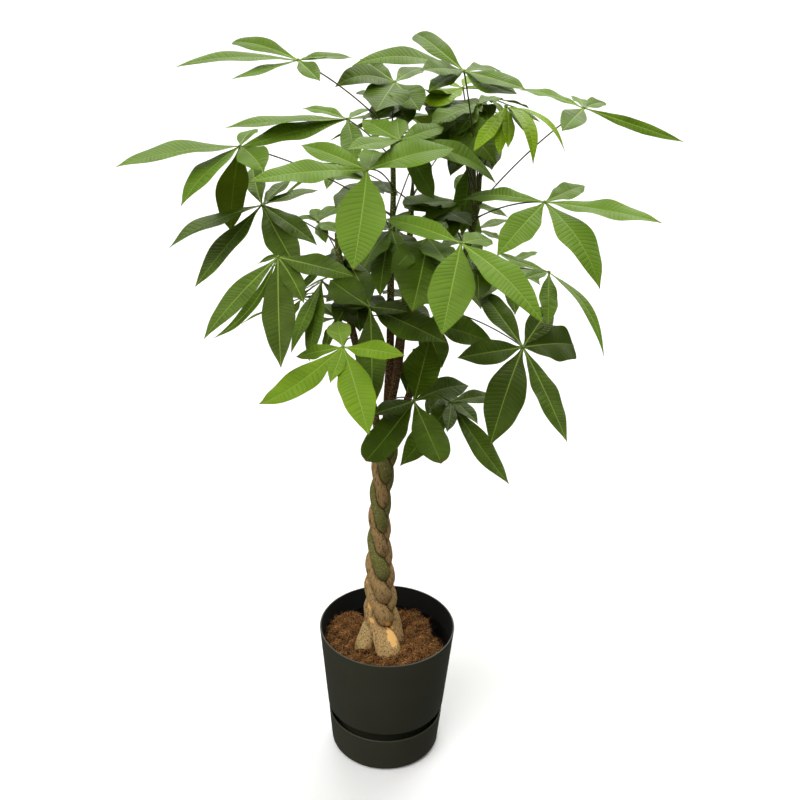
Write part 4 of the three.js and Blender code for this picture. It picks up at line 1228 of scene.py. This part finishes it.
def tube(path, radius, side, tone):
    """Rings square to the path. Two directions span a ring: the given side, and the one square to
    it and to the path."""
    ahead = np.gradient(path, axis=0)
    ahead /= np.linalg.norm(ahead, axis=1, keepdims=True)
    upward = np.cross(side, ahead)
    upward /= np.linalg.norm(upward, axis=1, keepdims=True)
    angle = np.linspace(0, 2 * math.pi, STALK_SIDES, endpoint=False)[:, None]
    ring = np.cos(angle) * upward[:, None] + np.sin(angle) * side
    points = path[:, None] + radius[:, None, None] * ring
    share = np.linspace(0, 1, len(path))[:, None]
    around = np.linspace(0, 1, STALK_SIDES)
    uv = np.stack(np.broadcast_arrays(share, around), -1)
    blade = np.stack(np.broadcast_arrays(0 * share, share + 0 * around, tone), -1)
    faces = skin(len(path), STALK_SIDES)
    return (points.reshape(-1, 3), faces, np.full(len(faces), STALK), uv.reshape(-1, 2),
            blade.reshape(-1, 3))


def stalk(root, hub, side, tone):
    """The line from root to hub, lifted by a parabola. The radius swells towards both ends."""
    p = np.linspace(0, 1, STALK_ROWS)
    lift = STALK_BOW * np.linalg.norm(hub - root) * 4 * p * (1 - p)
    path = root + p[:, None] * (hub - root) + lift[:, None] * np.array([0, 0, 1])
    radius = STALK_RADIUS + FOOT_SWELL * np.exp(-p / 0.05) + HUB_SWELL * np.exp(-(1 - p) / 0.03)
    return tube(path, radius, side, tone)


def hub_knob(hub, side, up, tone):
    """A short tube with the radius of an ellipsoid: the sine of the way from pole to pole."""
    p = np.linspace(0.06, 0.94, 7)
    path = hub - up * HUB_RADIUS * 0.9 * np.cos(math.pi * p)[:, None]
    points, faces, slots, uv, blade = tube(path, HUB_RADIUS * np.sin(math.pi * p), side, tone)
    blade[:, 1] = 1.1
    return points, faces, slots, uv, blade


# %% [markdown]
# Now the crown. The leaves that the picture shows are given by tables, in which each leaf has its root on
# a stem, the pixel and the depth of its hub, and a row for each leaflet. A negative length points away
# from the viewer. The same pixels and lengths made the CAD leaves, so each finer leaf lies where its
# node is.

# %% Leaf builder
LEAN = 0.35  # towards the viewer
OWN_LEAN = {"leaf_03": 0.8, "leaf_09": 0, "leaf_23": 0.9, "inner_leaf_54": 0.8}
OUTWARD_LEAN = 0.25
BLADE_SLENDERNESS = 0.32
BLADE_ARCH = 0.03
STALK_SINK = 1.0  # how deep a stalk's foot starts inside the stem's side
TONE_SPREAD = 0.06  # between the leaflets of a leaf
leaflets_of = {}


def grow(name, stem, root, hub, blades, lean, tone):
    """Joins stalk, hub and leaflets into one piece. Where the CAD model has a leaf of that name,
    the piece stands for it."""
    chance = np.random.default_rng(int(name[-2:]))
    middle = np.append(stem_middle(stem, np.array(float(root))), root)
    outward = unit((hub - middle) * [1, 1, 0])
    reach = float(stem_radius(stem, np.array(float(root)))) - STALK_SINK
    side = unit(np.cross(outward, [0, 0, 1]))
    up = unit(np.array([0, -lean, 1]) + OUTWARD_LEAN * outward)
    parts = [stalk(middle + outward * reach, hub, side, tone), hub_knob(hub, side, up, tone)]
    for tip, width, arch, roll, outline in blades:
        own_tone = tone + chance.uniform(-TONE_SPREAD, TONE_SPREAD)
        parts.append(leaflet(hub, tip, width, arch, roll, up, own_tone, outline, chance))
    counts = np.cumsum([0] + [len(part[0]) for part in parts[:-1]])
    faces = np.concatenate([part[1] + first for part, first in zip(parts, counts)])
    points, slots, uv, blade = (np.concatenate([part[k] for part in parts]) for k in (0, 2, 3, 4))
    leaflets_of[name] = len(blades)
    make_piece(f"{name}_look", points, faces, [leaf_upper, leaf_under, stalk_skin],
               node=None if name.startswith("inner") else name,
               face_material=slots, uv=uv,
               attributes={"blade": blade}, sharp=50)


def grow_all(table):
    """Grows the leaves of a table. A leaf has its stem, the root's height, the hub's pixel and
    depth, the tone, and a row for each leaflet: the tip's pixel, its distance from the hub, and
    where they aren't the usual ones the width, arch, roll in degrees and outline."""
    for name, (stem, root, (u, v, depth), tone, rows) in table.items():
        hub = point_at_depth((u, v), depth)
        blades = []
        for tip_u, tip_v, length, *own in rows:
            usual = [BLADE_SLENDERNESS * abs(length), BLADE_ARCH, 0, POINTED]
            width, arch, roll, outline = own + usual[len(own):]
            tip = point_at_length(hub, (tip_u, tip_v), length)
            blades.append((tip, width, arch, math.radians(roll), outline))
        grow(name, f"stem_{stem}", root, hub, blades, OWN_LEAN.get(name, LEAN), tone)


# %% Leaves at the top
TOP_LEAVES = {
    "leaf_01": ("centre", 1172, (298, 60, -30), 0.35, [
        (176, 67, 182, 34, 0.05), (233, 42, -130, 34, 0.04, 0, BLUNT), (232, 79, 125, 26, -0.01),
        (320, 81, 90, 30), (352, 58, -105, 26, 0.04, -15), (330, 57, -60)]),
    "leaf_02": ("right", 1086, (464, 71, -40), 0.3, [
        (416, 34, -140, 38, 0.05, 0, BLUNT), (352, 66, 185, 42, 0.09), (421, 70, 110, 40, 0.03, 15),
        (525, 89, 150, 36, 0), (501, 71, -110), (517, 94, 120, 40, -0.02), (428, 92, 95)]),
    "leaf_03": ("centre", 1180, (395, 82, 70), 0.2, [
        (335, 87, 100, 56, 0.16), (376, 112, 120, 74), (420, 111, 110, 56), (360, 59, -120, 34),
        (424, 68, -110)]),
    "leaf_04": ("centre", 1130, (347, 119, 60), 0.5, [
        (225, 128, 200, 46, 0.02), (241, 147, 185, 44, 0.02, 20), (301, 109, -130, 28),
        (371, 109, -90), (440, 117, -160, 44), (355, 165, 120, 40)]),
    "leaf_05": ("centre", 1130, (400, 140, -90), 0.5, [
        (362, 120, -80, 40), (398, 119, -70, 34), (347, 150, 125, 36), (496, 184, -175, 48, 0.1),
        (434, 199, -120, 48, 0.03, -22), (444, 127, -95, 38)]),
    "leaf_06": ("right", 1064, (463, 88, 100), 0.85, [
        (430, 107, 80, 50, 0.03, 10, ROUND), (499, 93, -80, 40), (428, 80, -80), (474, 76, -70)]),
    "leaf_07": ("right", 1096, (478, 104, 45), 0.3, [
        (431, 126, 100, 60), (458, 135, 70, 36), (493, 117, -60, 36, 0.03, 30),
        (501, 98, -80, 36)]),
    "leaf_08": ("right", 1046, (474, 134, 170), 0.2, [
        (441, 132, -120, 56, 0.03, 45), (492, 170, 130, 60), (450, 176, 130, 44),
        (505, 140, -110, 36, 0.03, -50)]),
    "leaf_09": ("right", 1103, (506, 106, -30), 1.0, [
        (473, 152, 105, 26), (499, 156, 90, 22), (508, 148, 80, 20), (533, 165, 130, 26, 0.2),
        (529, 136, 70, 18), (540, 122, 70, 16), (565, 152, 130, 14, 0.16)]),
    "leaf_10": ("right", 1058, (584, 108, -10), 0.35, [
        (518, 90, -120, 28, 0.05), (572, 96, -80), (606, 103, -85), (562, 131, 105, 40),
        (684, 142, 178, 18, -0.01, -62)]),
}
grow_all(TOP_LEAVES)

# %% Leaves on the upper left
LEFT_LEAVES = {
    "leaf_11": ("centre", 1040, (240, 146, -20), 0.4, [
        (116, 167, 200, 60, 0.035), (181, 206, 155, 46, 0.06), (231, 232, -165, 60, 0.02, -58),
        (264, 172, 110, 50), (256, 129, -110, 32)]),
    "leaf_12": ("left", 1008, (262, 205, 10), 0.2, [
        (169, 248, 178, 50, 0.05), (195, 287, 178, 48, 0), (300, 274, 145, 52), (317, 245, 120, 40),
        (253, 166, -110), (290, 180, -100), (318, 190, -115)]),
    "leaf_13": ("left", 950, (278, 257, -165), 0.15, [
        (204, 339, 180, 40, 0.02), (281, 368, 185, 50), (214, 338, -165, 24, -0.1),
        (355, 277, 130, 44), (304, 303, 95), (258, 264, -70)]),
    "leaf_14": ("left", 905, (322, 281, 10), 0.35, [
        (349, 320, -95, 46, 0.03, -40), (291, 353, 150, 28), (309, 362, 150, 32), (300, 300, -80)]),
    "leaf_15": ("left", 985, (318, 222, 60), 0.6, [
        (300, 216, -80), (313, 209, -90, 26), (339, 233, 80, 34), (340, 206, -110, 34),
        (326, 243, 70)]),
}
grow_all(LEFT_LEAVES)

# %% Leaves in the middle
MIDDLE_LEAVES = {
    "leaf_16": ("centre", 1085, (367, 170, -170), 0.5, [
        (248, 182, 180, 48, 0.03), (301, 145, -135, 40), (374, 150, -95, 44),
        (455, 149, -150, 62, 0.05), (353, 271, 165, 74)]),
    "leaf_17": ("right", 935, (461, 243, -230), 0.45, [
        (385, 219, -135, 42), (442, 336, 150, 66), (544, 325, 182, 50, 0.1), (492, 240, -90, 40)]),
    "leaf_18": ("front", 900, (370, 307, -125), 0.1, [
        (352, 268, -120, 50), (330, 280, -110, 56), (341, 306, -65), (372, 411, 180, 50),
        (408, 312, 80, 36), (446, 343, 140, 62)]),
    "leaf_19": ("left", 838, (343, 347, -250), 0.72, [
        (259, 404, 160, 44, -0.08), (369, 436, 165, 52), (405, 356, 110, 36), (338, 321, -85, 38),
        (330, 383, 75), (296, 357, -85)]),
    "leaf_20": ("front", 748, (414, 401, -130), 0.15, [
        (366, 461, 140, 54, 0, 0, BLUNT), (372, 415, 95, 34), (441, 463, 120, 56, 0.03, 0, BLUNT),
        (469, 386, -110, 46, 0.08), (430, 338, 112, 60)]),
    "leaf_21": ("right", 742, (451, 402, -30), 0.2, [
        (509, 484, 168, 44, -0.02), (400, 466, 140, 50), (495, 396, -100), (447, 432, 80)]),
}
grow_all(MIDDLE_LEAVES)

# %% Leaves on the right
RIGHT_LEAVES = {
    "leaf_22": ("right", 1036, (545, 202, -90), 0.5, [
        (462, 201, -145, 38, 0.09), (497, 256, 140, 50), (600, 289, 172, 58, 0.12),
        (662, 223, 192, 46, 0.02), (585, 186, -115, 36)]),
    "leaf_23": ("right", 880, (523, 347, -80), 0.1, [
        (457, 358, 120, 46), (490, 446, 182, 66), (567, 442, 178, 40, 0),
        (573, 345, -115, 70, 0.06, 0, ROUND), (552, 305, -110, 44), (480, 289, -150, 44)]),
    "leaf_24": ("right", 945, (549, 272, -40), 0.45, [
        (604, 357, 182, 20, 0.14), (497, 252, -110, 22, -0.02), (548, 326, 105, 32),
        (524, 279, 70)]),
    "leaf_25": ("right", 1012, (461, 202, 110), 0.5, [
        (405, 208, 130, 50, 0.03, 15, ROUND), (426, 225, 110, 54, 0.03, 20), (470, 172, -110, 40),
        (508, 217, 90, 24), (480, 240, 70, 36)]),
    "leaf_26": ("front", 945, (428, 238, -135), 0.2, [
        (412, 312, 140, 82), (391, 274, 95, 38), (449, 266, 100, 50), (446, 222, -80)]),
    "leaf_27": ("right", 968, (476, 230, 160), 0.35, [
        (512, 220, -100, 24), (500, 240, 80, 22), (468, 268, 110), (440, 250, 100)]),
    "leaf_28": ("right", 925, (508, 262, 110), 0.35, [
        (538, 252, -90, 18), (540, 285, 100), (515, 315, 120), (480, 300, 120)]),
    "leaf_29": ("right", 850, (425, 322, -30), 0.2, [
        (442, 368, 90, 50), (494, 344, -118, 58), (464, 314, 75, 40), (404, 300, -80)]),
    "leaf_30": ("front", 965, (391, 229, -95), 0.25, [
        (380, 297, 140, 40), (364, 268, 110, 46), (358, 232, 80), (410, 211, -90), (402, 262, 80)]),
    "leaf_38": ("centre", 1010, (366, 180, 90), 0.2, [
        (335, 208, 110, 48), (330, 176, -110, 44), (384, 194, 90, 30), (352, 160, -100),
        (398, 196, 90)]),
}
grow_all(RIGHT_LEAVES)

# %% [markdown]
# Behind these, the inside of the crown is crowded with darker leaves of which only scraps can be seen.
# The CAD model leaves them out. They are placed the same way, deeper in the crown, where the scraps
# show between the others and no white does.

# %% Leaves inside the crown
INNER_LEAVES = {
    "inner_leaf_41": ("centre", 1090, (398, 104, 120), 0.2, [
        (356, 94, 115, 50), (372, 120, 100, 50), (408, 124, 90, 44), (426, 106, 100, 44),
        (414, 86, -90, 40), (380, 82, -90, 40)]),
    "inner_leaf_42": ("right", 1040, (452, 100, 110), 0.2, [
        (424, 90, 90, 44), (430, 118, 95, 46), (456, 128, 90, 44), (482, 112, 95, 40)]),
    "inner_leaf_43": ("right", 1030, (486, 110, 90), 0.35, [
        (468, 130, 70, 36), (492, 138, 90, 44), (506, 118, -70, 30), (470, 100, -60, 30)]),
    "inner_leaf_44": ("centre", 1040, (424, 140, 70), 0.25, [
        (390, 147, 95, 40), (446, 150, 80, 40), (466, 144, 120, 40), (436, 124, -80, 36)]),
    "inner_leaf_45": ("right", 985, (444, 210, 80), 0.1, [
        (406, 205, 125, 50), (420, 232, 100, 50), (452, 240, 90, 46), (472, 226, 95, 40)]),
    "inner_leaf_46": ("centre", 985, (398, 230, 40), 0.05, [
        (364, 250, 100, 48), (386, 272, 110, 48), (412, 262, 100, 48), (420, 236, -75, 40),
        (376, 224, -80, 40)]),
    "inner_leaf_47": ("left", 930, (348, 256, 30), 0.05, [
        (330, 262, 80, 40), (342, 292, 100, 46), (356, 296, 100, 50), (370, 274, 80, 44),
        (358, 240, -70, 40)]),
    "inner_leaf_48": ("left", 890, (356, 292, 20), 0.0, [
        (326, 302, 90, 40), (336, 324, 100, 46), (360, 332, 110, 50), (384, 314, 90, 48),
        (376, 284, -70, 44)]),
    "inner_leaf_49": ("front", 850, (404, 298, 40), 0.0, [
        (380, 320, 90, 44), (402, 336, 110, 50), (424, 328, 100, 50), (426, 304, -80, 44),
        (386, 290, -70, 40)]),
    "inner_leaf_50": ("right", 900, (474, 258, 60), 0.1, [
        (456, 286, 90, 44), (478, 300, 110, 50), (502, 284, 95, 40), (494, 262, -70, 30)]),
    "inner_leaf_51": ("front", 790, (414, 350, 0), 0.05, [
        (407, 394, 95, 34), (424, 392, 95, 44), (436, 366, 70, 40)]),
    "inner_leaf_52": ("right", 765, (446, 392, 10), 0.25, [
        (426, 414, 70, 36), (478, 424, 100, 34), (456, 412, 60, 34)]),
    "inner_leaf_54": ("right", 1075, (446, 116, 60), 0.3, [
        (496, 164, 130, 66, 0.12), (458, 166, 110, 60, 0.05), (432, 140, 80, 40)]),
    "inner_leaf_53": ("right", 1020, (470, 160, 140), 0.5, [
        (462, 236, 130, 44), (474, 226, 110, 34)]),
}
grow_all(INNER_LEAVES)

# %% [markdown]
# The far side of the crown can't be seen in the picture. Its leaves are laid out by rule: the hub lies
# at a bearing, a reach and a rise from the root, and six leaflets fan out evenly, longest in the
# middle and hanging a little.

# %% Leaves on the far side
FAN_LEAFLETS = 6
FAN_HALF_ANGLE = math.radians(125)
FAN_TAPER = 0.38  # how much shorter the outermost leaflets are
FAN_UNEVEN = 0.05
FAN_DIP = 16  # degrees that the middle ones hang down
FAR_TONE = 0.2


def far_leaf(name, stem, root, bearing, reach, rise, length):
    """A leaf whose leaflets are spread evenly over twice the fan's half angle. Sines of the
    leaflet's number vary their sizes and how far they hang."""
    stem = f"stem_{stem}"
    x, y = stem_middle(stem, np.array(float(root)))
    heading = math.radians(bearing)
    hub = np.array([x + reach * math.cos(heading), y + reach * math.sin(heading), root + rise])
    blades = []
    for k in range(FAN_LEAFLETS):
        share = 2 * k / (FAN_LEAFLETS - 1) - 1
        size = length * (1 - FAN_TAPER * share ** 2 + FAN_UNEVEN * math.sin(7 * k + root))
        turn = heading + FAN_HALF_ANGLE * share
        dip = math.radians(FAN_DIP + 12 * share ** 2 + 8 * math.sin(3 * k + bearing))
        tip = hub + size * np.array([math.cos(turn) * math.cos(dip), math.sin(turn) * math.cos(dip),
                                     -math.sin(dip)])
        blades.append((tip, BLADE_SLENDERNESS * size, BLADE_ARCH, 0, POINTED))
    grow(name, stem, root, hub, blades, lean=0, tone=FAR_TONE)


FAR_LEAVES = {  # stem, root, bearing, reach, rise, length
    "leaf_31": ("back", 1055, 95, 150, 90, 165), "leaf_32": ("back", 1030, 135, 190, 30, 125),
    "leaf_33": ("back", 1040, 60, 280, 120, 105), "leaf_34": ("back", 900, 110, 220, -40, 170),
    "leaf_35": ("left", 960, 100, 160, -30, 140), "leaf_36": ("back", 880, 60, 190, -10, 170),
    "leaf_37": ("centre", 1160, 50, 140, 0, 110), "leaf_39": ("left", 900, 120, 170, -40, 140),
    "leaf_40": ("back", 830, 130, 190, -50, 140),
}
for name, row in FAR_LEAVES.items():
    far_leaf(name, *row)
print(f"{len(leaflets_of)} leaves with {sum(leaflets_of.values())} leaflets")
